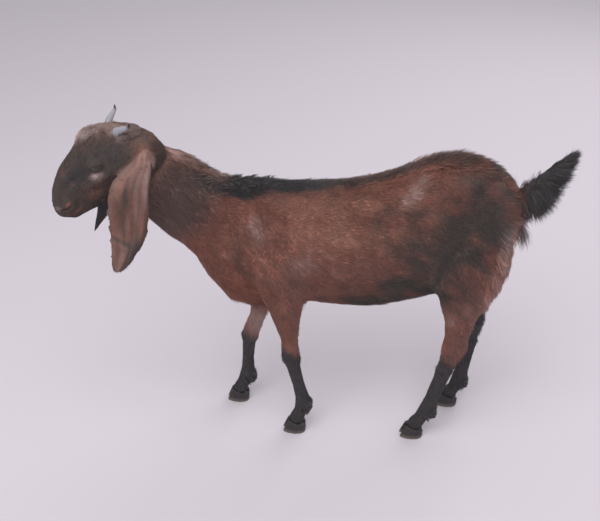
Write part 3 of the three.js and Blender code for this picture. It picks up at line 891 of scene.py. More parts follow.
# Lines along which the coat changes, in millimetres. The breech is measured from the middle plane.
CREST = [
    (262, 10, 604), (250, 11, 590), (238, 8, 572), (224, 2, 560),
    (205, -3, 548), (180, -8, 534), (150, -11, 524), (120, -13, 519),
]
SPINE = [
    (150, -13.5, 520), (60, -13.5, 514), (0, -13.5, 510),
    (-60, -13.5, 511), (-130, -13.5, 526), (-220, -13.5, 550),
]
CROUP = [(-180, -13.5, 542), (-230, -13.5, 554), (-275, -13.5, 548), (-310, -13.5, 524), (-326, -13.5, 500)]
BREECH = [
    (-316, 44, 448), (-311, 55, 422), (-307, 59, 395), (-299, 64, 370), (-293, 64, 345), (-289, 60, 318),
]
masks = {
    "crest": bell(along_path(room, CREST), 15) * (1 - region("ear")),
    "spine": bell(along_path(room, SPINE), 15),
    "croup": bell(along_path(room, CROUP), 30),
    "breech": bell(along_path(both, BREECH), 17),
    "forelock": spot(face, (52, 0, 56), (34, 26, 18)) * region("head"),
    "poll": spot(face, (12, 0, 24), (24, 26, 22)) * region("head"),
    "belly": ramp(room[:, 2], 322, 296) * region("trunk"),
    "throat": spot(face, (30, 0, -62), (30, 26, 16)),
}
print({name: int((m > 0.5).sum()) for name, m in masks.items()})

# %% [markdown]
# ## Markings
# The coat is red chestnut with dark points: a black stripe down the back that spreads over the withers, a
# dark flank and thigh, a dark mask, black legs and a black tail, with pale marks under the eye and at the
# back of the thigh. Four soft masks hold all this: how dark, how black, how pale and how light a red. They
# are worked out once from named places, and both the skin and the hair carry them, so that nothing shows
# through where the hair parts. The masks also carry painted light and shade: painted sheen on the shoulder,
# hip, ribs and forehead, a painted reflection along the nose, painted light on the far upper foreleg, and
# painted shade over the far ear and under the fold of the near one.

# %% Blotches and streaks
# Along the body's hair, which runs back and a little down, and across it.
FLOW = np.array((-0.91, 0, -0.42))
flow = np.stack([room @ FLOW, room[:, 1], room @ np.array((0.42, 0, -0.91))], 1)
blotch = mottle(room, 46, 3)
streak = mottle(flow * (0.3, 1, 1), 14, 5)
strands = mottle(flow * (0.2, 0.8, 1), 5.5, 13)
flecks = mottle(room * (0.5, 1, 1), 7, 11)


def strongest(points, *spots):
    """The strongest of several soft spots, each given as strength, place and reach."""
    best = np.zeros(len(points))
    for strength, place, reach in spots:
        best = np.maximum(best, strength * spot(points, place, reach))
    return best


print("blotch sizes: 46, 14, 7 and 5.5 mm")

# %% Black: stripe, legs and tail
stripe_half = np.interp(
    body[:, 0],
    [-260, -200, -150, -100, -40, 0, 40, 80, 110, 126, 160, 195],
    [8, 9, 11, 12, 14, 19, 25, 31, 44, 47, 35, 26],
)
ridge = np.interp(body[:, 0], [-250, -200, -130, -60, 0, 60, 160], [552, 544, 524, 511, 510, 514, 520])
off_spine = np.abs(body[:, 1]) + 0.9 * np.maximum(0, ridge - room[:, 2])
ragged = 3.5 * streak + 3 * strands
stripe = ramp(off_spine + ragged, stripe_half + 7, stripe_half - 5) * ramp(body[:, 0], 228, 190)
fade = 0.8 + 0.2 * ramp(body[:, 0], -60, 20)
stripe *= (region("trunk") + region("neck")) * ramp(body[:, 0], -280, -150) * fade
# How high the black reaches up each leg, in millimetres.
LEG_BLACK = np.array([207, 176, 192, 232])
front_of_leg = np.zeros(len(points))
for number, line in enumerate(leg_lines.values()):
    here = leg_of == number
    middle_x = np.interp(room[here, 2], line[:, 2], line[:, 0])
    front_of_leg[here] = (room[here, 0] - middle_x) / 16
stocking = ramp(room[:, 2] - 11 * front_of_leg + 4 * streak, LEG_BLACK[leg_of] + 9, LEG_BLACK[leg_of] - 9)
# On the far hind leg the black runs up the back edge to the point of the hock and above.
stocking = np.maximum(stocking, ramp(room[:, 2], 300, 262) * (leg_of == 3) * ramp(front_of_leg, 0.3, -0.5))
black = np.maximum(stripe, stocking)
under_tail = ramp(0.6 * body[:, 0] + room[:, 2], 285, 275)
tail_black = 0.75 + 0.25 * np.maximum(under_tail, ramp(body[:, 0], -325, -345))
black = np.maximum(black, ramp(region("tail"), 0.05, 0.4) * tail_black)
print("black share:", black.mean().round(3))

# %% Dark on the body
dark = strongest(
    both,
    (0.6, (-106, 56, 481), (20, 30, 8)),
    (0.55, (-88, 60, 470), (16, 30, 8)),
    (1.15, (-170, 72, 396), (34, 50, 44)),
    (1.35, (-204, 66, 396), (34, 50, 60)),
    (1.1, (-248, 50, 508), (24, 34, 20)),
    (0.9, (-212, 50, 502), (20, 30, 11)),
    (1.1, (-328, 6, 452), (14, 20, 24)),
    (0.7, (-142, 58, 479), (32, 30, 8)),
    (1.2, (-136, 70, 352), (52, 50, 24)),
    (1.2, (-190, 52, 336), (38, 50, 28)),
    (1.0, (-88, 68, 318), (80, 70, 17)),
    (0.6, (-21, 70, 325), (50, 50, 10)),
    (1.3, (-270, 52, 484), (32, 50, 32)),
    (1.2, (-290, 54, 450), (26, 44, 34)),
    (0.95, (-222, 58, 472), (40, 40, 20)),
    (1.2, (-246, 62, 446), (46, 50, 48)),
    (0.6, (-238, 38, 531), (12, 30, 10)),
    (0.55, (-196, 0, 555), (50, 34, 12)),
    (0.65, (-281, 14, 541), (26, 34, 18)),
    (0.9, (-320, 16, 506), (16, 30, 26)),
    (0.7, (-262, 58, 380), (26, 40, 30)),
    (0.6, (-246, 58, 350), (26, 40, 36)),
    (0.35, (138, 44, 398), (9, 30, 46)),
    (0.35, (-51, 24, 505), (44, 24, 14)),
    (0.3, (40, 62, 350), (22, 20, 30)),
)
dark -= strongest(both, (0.6, (-246, 62, 438), (15, 24, 13)), (0.3, (-180, 66, 470), (24, 24, 8)))
rear = ramp(body[:, 0], -30, -130)
coat_like = region("trunk") + region("thigh") + region("arm")
uneven = (0.1 + 0.08 * rear) * blotch + (0.08 + 0.1 * rear) * streak + (0.1 + 0.1 * rear) * strands
dark += coat_like * uneven
dark = 1.4 * dark - 0.08
up_neck = ramp(body[:, 0] + 0.55 * (room[:, 2] - 500), 138, 200)
neck_dark = up_neck * ramp(room[:, 2] + 0.25 * body[:, 0], 468, 520)
dark = np.maximum(dark, 0.82 * neck_dark * (region("neck") + 0.5 * region("trunk")))
print("dark share:", dark.mean().round(3))

# %% Light red on the body
light = strongest(
    both,
    (0.3, (-244, 62, 440), (14, 20, 15)),
    (0.4, (-190, 48, 518), (16, 16, 8)),
    (0.65, (-224, 36, 534), (22, 16, 8)),
    (0.5, (-176, 58, 476), (22, 20, 9)),
    (0.5, (-302, 38, 492), (12, 24, 24)),
    (0.95, (-10, 66, 446), (80, 44, 36)),
    (0.45, (-122, 70, 446), (24, 30, 22)),
    (1.0, (20, 52, 480), (66, 40, 16)),
    (1.0, (-60, 48, 488), (46, 30, 12)),
    (0.5, (152, 42, 425), (18, 30, 36)),
    (0.4, (100, 50, 400), (60, 40, 60)),
    (0.4, (-232, 62, 290), (26, 30, 40)),
)
# Painted light: the upper part of the far foreleg, which stands in shade, is painted light red to stand for
# light falling on it.
light = np.maximum(light, spot(room, (112, -53, 210), (24, 18, 36)))
light = np.clip(light + coat_like * (0.18 * streak + 0.18 * strands) + 0.1 * flecks, 0, 1)
print("light share:", light.mean().round(3))

# %% Pale on the body
pale = strongest(
    both,
    # These two spots on the shoulder blade are painted sheen, a highlight where light catches the shoulder.
    (0.85, (107, 45, 457), (9, 20, 13)),
    (0.7, (98, 52, 441), (8, 20, 11)),
    (0.35, (29, 72, 400), (16, 30, 16)),
    # These three spots over the hip bone are painted sheen, a highlight where light catches the point of the
    # hip.
    (0.75, (-138, 48, 499), (10, 20, 10)),
    (0.85, (-148, 42, 512), (9, 20, 9)),
    (0.55, (-159, 36, 525), (8, 20, 7)),
    (0.9, (-333, 12, 456), (9, 18, 16)),
    (0.5, (-227, 62, 281), (6, 16, 11)),
    (0.4, (-249, 69, 307), (7, 16, 10)),
    (0.25, (-224, 36, 534), (20, 16, 7)),
)
pale *= np.clip(0.85 + 0.3 * strands, 0, 1.1)
pale = np.maximum(pale, 0.6 * masks["breech"] * np.clip(0.55 + 0.35 * streak + 0.5 * strands, 0.1, 1))
# Painted light: the same place on the far foreleg is painted pale as well.
pale = np.maximum(pale, 0.72 * spot(room, (112, -53, 208), (20, 16, 30)))
# Painted sheen: pale streaks over the ribs where light catches the coat.
painted_rib_sheen = 0.12 * np.clip(strands, 0, 1) * spot(both, (10, 70, 430), (90, 50, 60))
pale += painted_rib_sheen + 0.06 * neck_dark * region("neck")
print("pale share:", pale.mean().round(3))

# %% The crest of the neck
# The mane falls to the right side of the crest, and its hair is palest along the edge.
from_crest = along_path(room, CREST)
from_mane = along_path(room, np.array(CREST) - (0, 12, 3))
behind_poll = ramp(body[:, 0], 140, 180) * (1 - region("ear"))
crest_edge = bell(from_mane, 9) * behind_poll
crest_pale = bell(from_mane, 10) * behind_poll * ramp(body[:, 0], 250, 232)
pale = np.maximum(pale, crest_pale * np.clip(0.5 + 0.4 * strands + 0.2 * flecks, 0.05, 0.8))
black = black * (1 - 0.8 * masks["crest"] * behind_poll)
dark *= 1 - 0.35 * bell(from_crest, 20) * behind_poll
light = np.maximum(light, 0.5 * masks["crest"] * behind_poll)
dark *= 1 - 0.8 * np.clip(pale, 0, 1)
light = np.maximum(light, np.clip(1.3 * pale, 0, 1))
print("mane's root points:", int((crest_edge > 0.1).sum()))

# %% Mask the head
head_light = strongest(
    face,
    (0.5, (112, 32, -4), (16, 16, 11)),
    (0.5, (99, 38, 2), (12, 16, 6)),
    (0.9, (125, 24, 28), (4, 9, 4.5)),
    (1.0, (153, 23, 9), (5.5, 12, 4)),
    (0.5, (152, 20, -12), (12, 12, 3.5)),
    # The next spot, a light line along the bridge of the nose, is a painted reflection of the sky.
    (0.3, (126, 12, 42), (18, 7, 8)),
    (0.65, (14, 36, -4), (16, 16, 16)),
    (0.35, (30, 0, 50), (30, 30, 14)),
)
head_dark = np.clip(0.97 - 0.75 * head_light + 0.08 * flecks, 0, 1)
head_pale = strongest(
    face,
    (0.95, (90, 38, 18), (8, 14, 4.5)),
    (0.5, (83, 41, 17), (5, 14, 4)),
    (0.7, (169, 12, 11), (4, 8, 3)),
)
fuzz_half = np.interp(face[:, 0], [10, 22, 33, 43, 51, 72, 88], [34, 30, 22, 14, 11, 7, 0]) + 2 * flecks
fuzz = ramp(face[:, 1], fuzz_half + 10, fuzz_half - 8) * ramp(head[:, 2], 20, 38) * ramp(face[:, 0], 96, 72)
fuzz *= region("head")
nape = spot(face, (-6, 0, -14), (16, 30, 20)) * region("head")
head_light = np.maximum(head_light, 0.5 * nape)
# Partly painted sheen: the pale on the forehead's fuzz and on the poll is paler hair together with a painted
# sheen of the sky, which gives it its mauve.
head_pale = np.maximum(head_pale, 0.54 * fuzz * np.clip(0.85 + 0.45 * flecks, 0.1, 1.3))
head_pale = np.maximum(head_pale, 0.24 * masks["poll"] * np.clip(0.9 + 0.6 * flecks, 0.1, 1.4))
head_dark = np.maximum(head_dark - 0.1 * fuzz - 0.35 * masks["poll"] - 0.25 * nape, 0)
head_black = 0.27 * (1 - 0.9 * head_light) + strongest(
    face,
    (0.5, (70, 36, 41), (26, 12, 8)),
    (0.5, (44, 38, 22), (16, 14, 14)),
    (0.5, (172, 8, 16), (9, 16, 6)),
    (0.8, (112, 22, 34), (34, 16, 16)),
)
unless_pale = 1 - 0.8 * np.clip(1.3 * head_pale, 0, 1)
head_black *= (1 - 0.5 * fuzz) * (1 - 0.7 * masks["poll"]) * (1 - 0.5 * nape) * unless_pale
on_head = ramp(region("head"), 0.35, 0.65)[:, None]
on_head *= 1 - region("ear")[:, None]
dark, light, pale, black = (
    on_head[:, 0] * ours + (1 - on_head[:, 0]) * theirs
    for ours, theirs in ((head_dark, dark), (head_light, light), (head_pale, pale), (head_black, black))
)
print("head points:", int((on_head > 0.5).sum()))

# %% Mask the ears
for side in (1, -1):
    mine = (region("ear") > 0.5) & (SIDE == side)
    drop, across, _ = to_ear(head[mine], side)
    raised = [at for at, _, size in EAR_RIDGES if size > 0]
    ridges = sum(bell(off_ridge(drop, across, at), 0.1) for at in raised)
    fold = below_fold(drop, across)
    wide = 4 + 8 * ramp(across, 0.3, -0.6)
    # The near ear's fold casts a shadow, painted as a dark band below it.
    shadow = bell(fold + 2 + 0.5 * wide, wide) * ramp(drop, 104, 118) * (side > 0)
    veins = mottle(np.stack([across * 9, drop / 22, 0 * drop], 1), 1.3, 23)
    clouds = mottle(np.stack([across * 4, drop / 34, 0 * drop], 1), 1.5, 31)
    rim = ramp(np.abs(across), 0.8, 1.0)
    base = ramp(drop, 64, 20)
    under = ramp(fold, 0, 8) * (side > 0)
    bright = 0.06 + 0.08 * ridges * (1 + clouds) + 0.1 * veins + 0.12 * clouds + 0.24 * base
    light[mine] = np.clip(bright, 0, 1)
    deep = 0.66 + 0.35 * shadow - 0.12 * ridges + 0.13 * veins - 0.2 * clouds + 0.2 * rim - 0.24 * base
    deep += 0.1 * under
    deep += 0.12 * ramp(across, -0.15, -0.6) + 0.1 * ramp(drop, 120, 170)
    # Painted shade: the far ear is painted darker and near black all over, and the near ear darker and
    # blacker in the fold's shadow.
    dark[mine] = np.clip(deep + 0.4 * (side < 0), 0, 1)
    rear_line = 0.3 * bell(across + 0.7, 0.1) * ramp(drop, 90, 50)
    streaks = 0.03 + 0.14 * base + 0.05 * ridges + 0.06 * clouds + 0.05 * veins + rear_line
    pale[mine] = np.clip(streaks, 0, 1) * (side > 0)
    black[mine] = np.clip(0.1 * rim + 0.25 * shadow + 1.0 * (side < 0), 0, 1)
print("ear points:", int((region("ear") > 0.5).sum()))

# %% Keep the masks on the skin
marks = np.clip(np.stack([dark, black, pale, light], 1), 0, 1)
marks = 0.5 * marks + 0.5 * around(marks, ends)
store(skin.data, "marks", "FLOAT_COLOR", marks)
print("masks on the skin:", marks.mean(0).round(3))

# %% [markdown]
# ## Hair and skin finishes
# Goat hair is smooth keratin: mostly matt when it lies in bulk, with a faint broad sheen along the strands.
# The skin under it is soft and matt. Both take their colour from the same nodes: named coat colours mixed
# by the four masks, with a blotchy change every few centimetres. The skin adds the short flat under-hair as
# a bump that runs with the coat, and each lock of hair has a tone of its own.

# %% Coat colours
# Light red, pale and black also paint light and shade: light red the painted light on the far upper foreleg
# and along the nose, pale the painted sheen on shoulder, hip, ribs and forehead, black the painted shade of
# the far ear.
COAT = {
    "chestnut": "#986052",
    "light red": "#be8571",
    "dark brown": "#584b45",
    "black": "#464244",
    "pale": "#dac2bd",
}


def coat_colour(tree):
    """Adds the nodes that mix the coat's colours by its masks, and returns the colour socket."""
    marks = add(tree, "ShaderNodeAttribute", {"attribute_name": "marks"})
    parts = add(tree, "ShaderNodeSeparateColor", Color=marks.outputs["Color"])
    place = add(tree, "ShaderNodeTexCoord")
    # Blotches about 30 mm wide, as sun and dust leave on a live coat.
    blotches = add(tree, "ShaderNodeTexNoise", Vector=place.outputs["Object"], Scale=34, Detail=3)
    strength = add(
        tree, "ShaderNodeMapRange", Value=blotches.outputs["Fac"], From_Min=0.3, From_Max=0.7, To_Max=0.3
    )
    layers = [
        (COAT["light red"], strength.outputs["Result"]),
        (COAT["light red"], marks.outputs["Alpha"]),
        (COAT["dark brown"], parts.outputs["Red"]),
        (COAT["black"], parts.outputs["Green"]),
        (COAT["pale"], parts.outputs["Blue"]),
    ]
    return layered(tree, COAT["chestnut"], layers)


print("coat colours:", COAT)

# %% Skin under the hair
grain_ways = unit(np.array([REGION_WAYS[name] for name in NAMES], float)[share.argmax(1)])
across_way = unit(np.cross(grain_ways, (0.1, 1, 0.2)))
third_way = np.cross(grain_ways, across_way)
# Under-hair: strands about 0.9 mm across and 9 mm long, so one unit of the grain is one strand.
grain = np.stack(
    [(room * grain_ways).sum(1) / 9, (room * across_way).sum(1) / 0.9, (room * third_way).sum(1) / 0.9], 1
)
store(skin.data, "grain", "FLOAT_VECTOR", grain)
print("strands across the skin's grain:", np.ptp(grain[:, 1]).round())

# %% Skin finish
# Matt skin with fine hair lying flat on it: strands that shade one another and barely shine.
skin_finish, tree, shader = new_material(
    "short under-hair on skin", Roughness=0.78, Specular_IOR_Level=0.25
)
grain_node = add(tree, "ShaderNodeAttribute", {"attribute_name": "grain"})
under_hair = add(tree, "ShaderNodeTexNoise", Vector=grain_node.outputs["Vector"], Scale=1.0, Detail=2)
bump = add(tree, "ShaderNodeBump", Height=under_hair.outputs["Fac"], Strength=0.35, Distance=0.0008)
shade = add(
    tree, "ShaderNodeMapRange",
    Value=under_hair.outputs["Fac"], From_Min=0.3, From_Max=0.7, To_Min=0.66, To_Max=1.0,
)
tinted = add(tree, "ShaderNodeHueSaturation", Color=coat_colour(tree), Value=shade.outputs["Result"])
tree.links.new(tinted.outputs["Color"], shader.inputs["Base Color"])
tree.links.new(bump.outputs["Normal"], shader.inputs["Normal"])
skin.data.materials.clear()
skin.data.materials.append(skin_finish)
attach(skin, "root")
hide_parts(*FLESH)
print("skin finish:", skin_finish.name)

# %% Hair finish
# Smooth strands in bulk: a broad soft gloss and a faint sheen where they turn away.
hair_finish, tree, shader = new_material(
    "goat hair in locks", Roughness=0.62, Specular_IOR_Level=0.3, Sheen_Weight=0.12, Sheen_Roughness=0.5
)
tone = add(tree, "ShaderNodeAttribute", {"attribute_name": "tone"})
tinted = add(tree, "ShaderNodeHueSaturation", Color=coat_colour(tree), Value=tone.outputs["Fac"])
tree.links.new(tinted.outputs["Color"], shader.inputs["Base Color"])
print("hair finish:", hair_finish.name)

# %% [markdown]
# ## The coat
# Particle hair would not survive an export, so each tuft is a real closed solid: a three-sided blade that
# is rooted in the skin, bends with the lie of the coat and ends in a point. Tens of thousands of them are
# worked out as arrays and written into a few joined meshes. Short flat hair has blades with one bend. Long
# hair has four, and droops under its own weight. An unwrap of the skin gives each blade a small patch of
# its own for baked colour.

# %% Unwrap the skin
bpy.context.view_layer.objects.active = skin
skin.select_set(True)
bpy.ops.object.mode_set(mode="EDIT")
bpy.ops.mesh.select_all(action="SELECT")
bpy.ops.uv.smart_project(angle_limit=radians(66), island_margin=0.002)
bpy.ops.object.mode_set(mode="OBJECT")
skin.data.uv_layers[0].name = "OFBake"
unwrap = read(skin.data.uv_layers[0].data, "uv", 2).reshape(-1, 3, 2)
faces = read(skin.data.loops, "vertex_index", 1, np.int64).reshape(-1, 3)
first, second, third = (points[faces[:, i]] for i in range(3))
face_area = np.linalg.norm(np.cross(second - first, third - first), axis=1) / 2
print("skin area:", round(face_area.sum(), 3), "m2, unwrap reaches", unwrap.max().round(3))

# %% Root places
rng = np.random.default_rng(7)


def roots(density, count):
    """Seeded root places: rows of face number and the three corner shares, thicker where density is high."""
    chance = face_area * density[faces].mean(1)
    chosen = rng.choice(len(faces), count, p=chance / chance.sum())
    a, b = rng.random((2, count))
    flip = a + b > 1
    a[flip], b[flip] = 1 - a[flip], 1 - b[flip]
    return chosen, np.stack([1 - a - b, a, b], 1)


def at_roots(field, chosen, corner):
    """A field of the skin's vertices at the roots."""
    return (field[faces[chosen]] * corner[:, :, None]).sum(1)


print("faces to root in:", len(faces))

# %% Locks
# How deep a tuft's root sits in the skin, in millimetres.
ROOT_DEPTH = 0.3


def lean_together(here, tips, main, lock, pull):
    """Pulls tufts, about lock of them at a time, towards one that leads them.

    Returns each tuft's lock, the number of locks and how far each tuft now reaches. main is the way they run.
    """
    leaders = rng.choice(len(here), max(4, len(here) // lock), replace=False)
    # Locks are about three times as long as they are wide.
    squeezed = here - 0.7 * (here @ main)[:, None] * main
    near = KDTree(len(leaders))
    for i, leader in enumerate(leaders):
        near.insert(squeezed[leader], i)
    near.balance()
    lock_of = np.array([near.find(root)[1] for root in squeezed.tolist()])
    reach = tips + pull * (tips[leaders[lock_of]] - tips) - here
    return lock_of, len(leaders), reach


print("roots sit", ROOT_DEPTH, "mm deep")


# %% Blades
def blades(here, step_way, sideways, normal, wide, long, up, swing, bends, droop):
    """The vertices of each blade: three at each bend and one at the tip."""
    rings = []
    for k in range(bends):
        full = (1.0, 0.92, 0.7, 0.45, 0.28)[k] if bends > 2 else (0.85, 1.0)[k]
        ridge = unit(np.cross(step_way, sideways))
        ridge *= np.sign((ridge * normal).sum(1) + 1e-9)[:, None]
        spread_by = sideways * (wide * full)[:, None]
        rings += [here - spread_by, here + spread_by, here + ridge * (wide * full * 0.7)[:, None]]
        here = here + step_way * (long / bends)[:, None]
        fall = normal * (up[:, None] * 0.9 / bends)
        step_way = unit(step_way - fall + sideways * swing + np.array((0, 0, -droop / bends)))
    return np.stack(rings + [here], 1)


def blade_faces(bends):
    """The triangles of one closed blade."""
    ring = [(i, (i + 1) % 3) for i in range(3)]
    wall = [(3 * k + a, 3 * k + b, 3 * k + 3 + b, 3 * k + 3 + a) for k in range(bends - 1) for a, b in ring]
    top = [(3 * bends - 3 + a, 3 * bends - 3 + b, 3 * bends) for a, b in ring]
    return np.array([(0, 2, 1)] + [t for a, b, c, d in wall for t in ((a, b, c), (a, c, d))] + top)


def joined(name, co, tri):
    """One mesh of many blades, and the vertex at each of its corners."""
    count, per = co.shape[:2]
    corner_vertex = (tri[None] + np.arange(count)[:, None, None] * per).reshape(-1)
    mesh = bpy.data.meshes.new(name)
    mesh.vertices.add(count * per)
    mesh.vertices.foreach_set("co", co.astype(np.float32).ravel())
    mesh.loops.add(len(corner_vertex))
    mesh.loops.foreach_set("vertex_index", corner_vertex.astype(np.int32))
    mesh.polygons.add(len(corner_vertex) // 3)
    mesh.polygons.foreach_set("loop_start", np.arange(0, len(corner_vertex), 3, dtype=np.int32))
    mesh.polygons.foreach_set("use_smooth", np.ones(len(corner_vertex) // 3, bool))
    mesh.update(calc_edges=True)
    return mesh, corner_vertex


print("a short blade has", len(blade_faces(1)), "faces and a long one", len(blade_faces(4)))

# %% Grow tufts
# Half the width of a tuft's patch of the unwrap.
HALF_PATCH = 0.0015
# Adding plain numbers to this gives each point of the skin the same ones.
PER_POINT = np.zeros((len(points), 3))


def grow(
    name, density, count, length, width, lift, bends=2, droop=0.0, wander=0.12, curve=0.0, way=None,
    tint=0.08, lock=36, pull=0.1, scatter=0.3,
):
    """One joined mesh of tufts, with length and width in mm and lift from 0, flat, to 1, upright.

    The three are numbers or fields of the skin. About lock tufts lean together by pull (0 to 1) and share a
    tone, as the hairs of a real lock do. wander turns each tuft, curve bends it sideways, tint varies the
    tones and scatter the pale hairs.
    """
    chosen, corner = roots(density, count)
    size = PER_POINT + np.stack(np.broadcast_arrays(length, width, lift), -1)
    long, wide, up = at_roots(size, chosen, corner).T
    long = long * rng.uniform(0.7, 1.15, count) * MM
    wide = wide * rng.uniform(0.75, 1.2, count) * MM / 2
    up = up * rng.uniform(0.6, 1.4, count)
    normal = unit(at_roots(out, chosen, corner))
    heading = at_roots(lie if way is None else PER_POINT + way, chosen, corner)
    heading = unit(heading - (heading * normal).sum(1)[:, None] * normal)
    sideways = np.cross(normal, heading)
    heading = unit(heading + sideways * rng.normal(0, wander, count)[:, None])
    here = at_roots(points, chosen, corner) - normal * ROOT_DEPTH * MM
    tips = here + unit(heading + normal * up[:, None]) * long[:, None]
    main = heading.mean(0) / np.linalg.norm(heading.mean(0))
    lock_of, locks, reach = lean_together(here, tips, main, lock, pull)
    # No tuft may dive into the skin, or grow long by leaning.
    reach -= normal * np.minimum((reach * normal).sum(1), 0)[:, None]
    long = np.minimum(np.linalg.norm(reach, axis=1), 1.3 * long)
    step_way = unit(reach)
    sideways = unit(np.cross(normal, step_way))
    swing = rng.normal(0, curve, count)[:, None]
    co = blades(here, step_way, sideways, normal, wide, long, up, swing, bends, droop)
    tri = blade_faces(bends)
    mesh, corner_vertex = joined(name, co, tri)
    per = co.shape[1]
    root_uv = (unwrap[chosen] * corner[:, :, None]).sum(1)
    spots = [((-1, 1, 0)[j % 3] if j < 3 * bends else 0, 2 * (j // 3) / bends - 1) for j in range(per)]
    patch = root_uv[:, None] + np.array(spots)[None] * HALF_PATCH
    layer = mesh.uv_layers.new(name="OFBake")
    layer.data.foreach_set("uv", patch.reshape(-1, 2)[corner_vertex].astype(np.float32).ravel())
    own = at_roots(marks, chosen, corner)
    own[:, 2] *= rng.uniform(1 - scatter, 1 + scatter, count)
    store(mesh, "marks", "FLOAT_COLOR", np.repeat(own, per, 0))
    # Hair is darkest at its root, where its neighbours shade it.
    rise = np.array([0.82 + 0.3 * (j // 3) / bends for j in range(per)])
    tone = (rng.normal(1.0, tint, count) + rng.normal(0, tint, locks)[lock_of])[:, None] * rise
    store(mesh, "tone", "FLOAT", tone)
    mesh.materials.append(hair_finish)
    piece = put(name, mesh)
    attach(piece, "root")
    print(name, count, "tufts,", len(tri) * count, "triangles")
    return piece


print("patches of the unwrap:", 2 * HALF_PATCH, "across")

# %% Lengths and widths over the body
hair_long = by_region(
    share, trunk=15, neck=15, head=5.5, ear=5, arm=12, thigh=15, shin=6.5, shank=6.5, tail=16
)
longer = 6 * masks["spine"] * region("trunk") + 9 * masks["croup"] + 9 * masks["belly"] + 8 * masks["breech"]
hair_long += longer
hair_long *= 1 - 0.35 * spot(face, (160, 0, 5), (26, 40, 40)) * region("head")
hair_wide = by_region(
    share, trunk=1.35, neck=1.3, head=0.75, ear=0.75, arm=1.2, thigh=1.35, shin=0.95, shank=0.95, tail=1.4
)
hair_lift = by_region(
    share, trunk=0.15, neck=0.16, head=0.15, ear=0.05, arm=0.16, thigh=0.16, shin=0.17, shank=0.17, tail=0.2
)
hair_lift += 0.12 * masks["spine"] + 0.22 * masks["croup"] + 0.1 * masks["breech"] + 0.1 * masks["forelock"]
print("hair length from", hair_long.min().round(1), "to", hair_long.max().round(1), "mm")

# %% Bare places
# No hair grows on the lids' rims, along the lips or round the nostrils.
bare_eye = ramp(np.linalg.norm(face - EYE, axis=1), 13.4, 15.5)
height, outward = to_lips(head)
bare_lip = 1 - bell(height, 2.0) * (outward < 1)
bare_nose = 1 - spot(face, (168, 9, 20), (7, 8, 6))
bare = np.clip(bare_eye * bare_lip * bare_nose, 0, 1)
print("bare points:", int((bare < 0.5).sum()))

# %% Short coat
rear_half = ramp(body[:, 0], -79, -81)
left = (body[:, 1] > 0).astype(float)
trunk_like = region("trunk") + region("arm") + region("thigh")
# Each piece: where it grows, how many tufts it has and how strongly they lean together.
SHORT_COAT = [
    ("coat_left_front", trunk_like * (1 - rear_half) * left, 40000, 0.1),
    ("coat_left_rear", trunk_like * rear_half * left, 40000, 0.1),
    ("coat_right_front", trunk_like * (1 - rear_half) * (1 - left), 40000, 0.1),
    ("coat_right_rear", trunk_like * rear_half * (1 - left), 40000, 0.1),
    ("coat_neck", region("neck"), 30000, 0.1),
    ("coat_head", region("head") * bare, 31000, 0.1),
    ("coat_ears", region("ear"), 20000, 0),
    ("coat_legs", region("shin") + region("shank"), 26000, 0.1),
]
for name, density, count, pull in SHORT_COAT:
    grow(name, density, count, hair_long, hair_wide, hair_lift, bends=1, pull=pull)

# %% [markdown]
# ## Long hair
# Longer hair makes the goat's outline: a mane of wisps along the crest of the neck, rough tufts at the
# withers and over the croup, a fuzzy forelock between the horns, pale hair behind the thighs and the black
# brush of the tail. These locks have more bends, stand off the skin and lean together more strongly than
# the short coat. Shorter fringes fill the nape and hang behind the fetlocks.

# %% Mane, nape and withers
past_nape = ramp(body[:, 0], 250, 222)
grow(
    "mane", crest_edge * (crest_edge > 0.1), 2600, 15 + 10 * past_nape, 0.8, 0.12 + 0.55 * past_nape,
    bends=4, droop=0.1, wander=0.3, curve=0.08, way=(-0.9, 0.02, -0.4),
    tint=0.14, lock=8, pull=0.4, scatter=0.9,
)
at_nape = spot(room, (252, 17, 590), (13, 26, 18))
grow(
    "nape_hair", at_nape * (at_nape > 0.15), 2000, 17, 1.0, 0.16,
    bends=3, droop=0.05, wander=0.25, curve=0.06, way=(-0.75, 0.1, -0.66), lock=16, pull=0.15,
)
grow(
    "withers_tufts", spot(room, (120, -10, 522), (34, 13, 12)), 700, 19, 1.1, 1.0,
    bends=3, droop=0.2, wander=0.5, curve=0.1, lock=16, pull=0.5,
)

# %% Back and croup
grow(
    "back_hair", (masks["spine"] > 0.35) * 0.8 + (masks["croup"] > 0.3), 3000, 17, 1.2, 0.42,
    bends=3, droop=0.2, wander=0.3, curve=0.08, lock=20, pull=0.5,
)
croup_top = masks["croup"] * ramp(np.abs(body[:, 1]), 34, 12) * (out[:, 2] > 0)
grow(
    "croup_tufts", croup_top * (croup_top > 0.2), 1300, 23, 1.0, 0.85,
    bends=3, droop=0.1, wander=0.5, curve=0.1, lock=7, pull=0.5,
)

# %% Forelock and poll
grow(
    "forelock", fuzz * (fuzz > 0.1), 6000, 6 + 3.5 * fuzz, 0.75, 0.25 + 0.4 * fuzz,
    bends=2, droop=0.1, wander=0.9, curve=0.15, lock=8, pull=0.35, scatter=0.5,
)
grow(
    "poll_hair", masks["poll"] * (masks["poll"] > 0.25), 2400, 11, 0.9, 0.4,
    bends=2, droop=0.2, wander=0.5, curve=0.1, lock=16, pull=0.4,
)

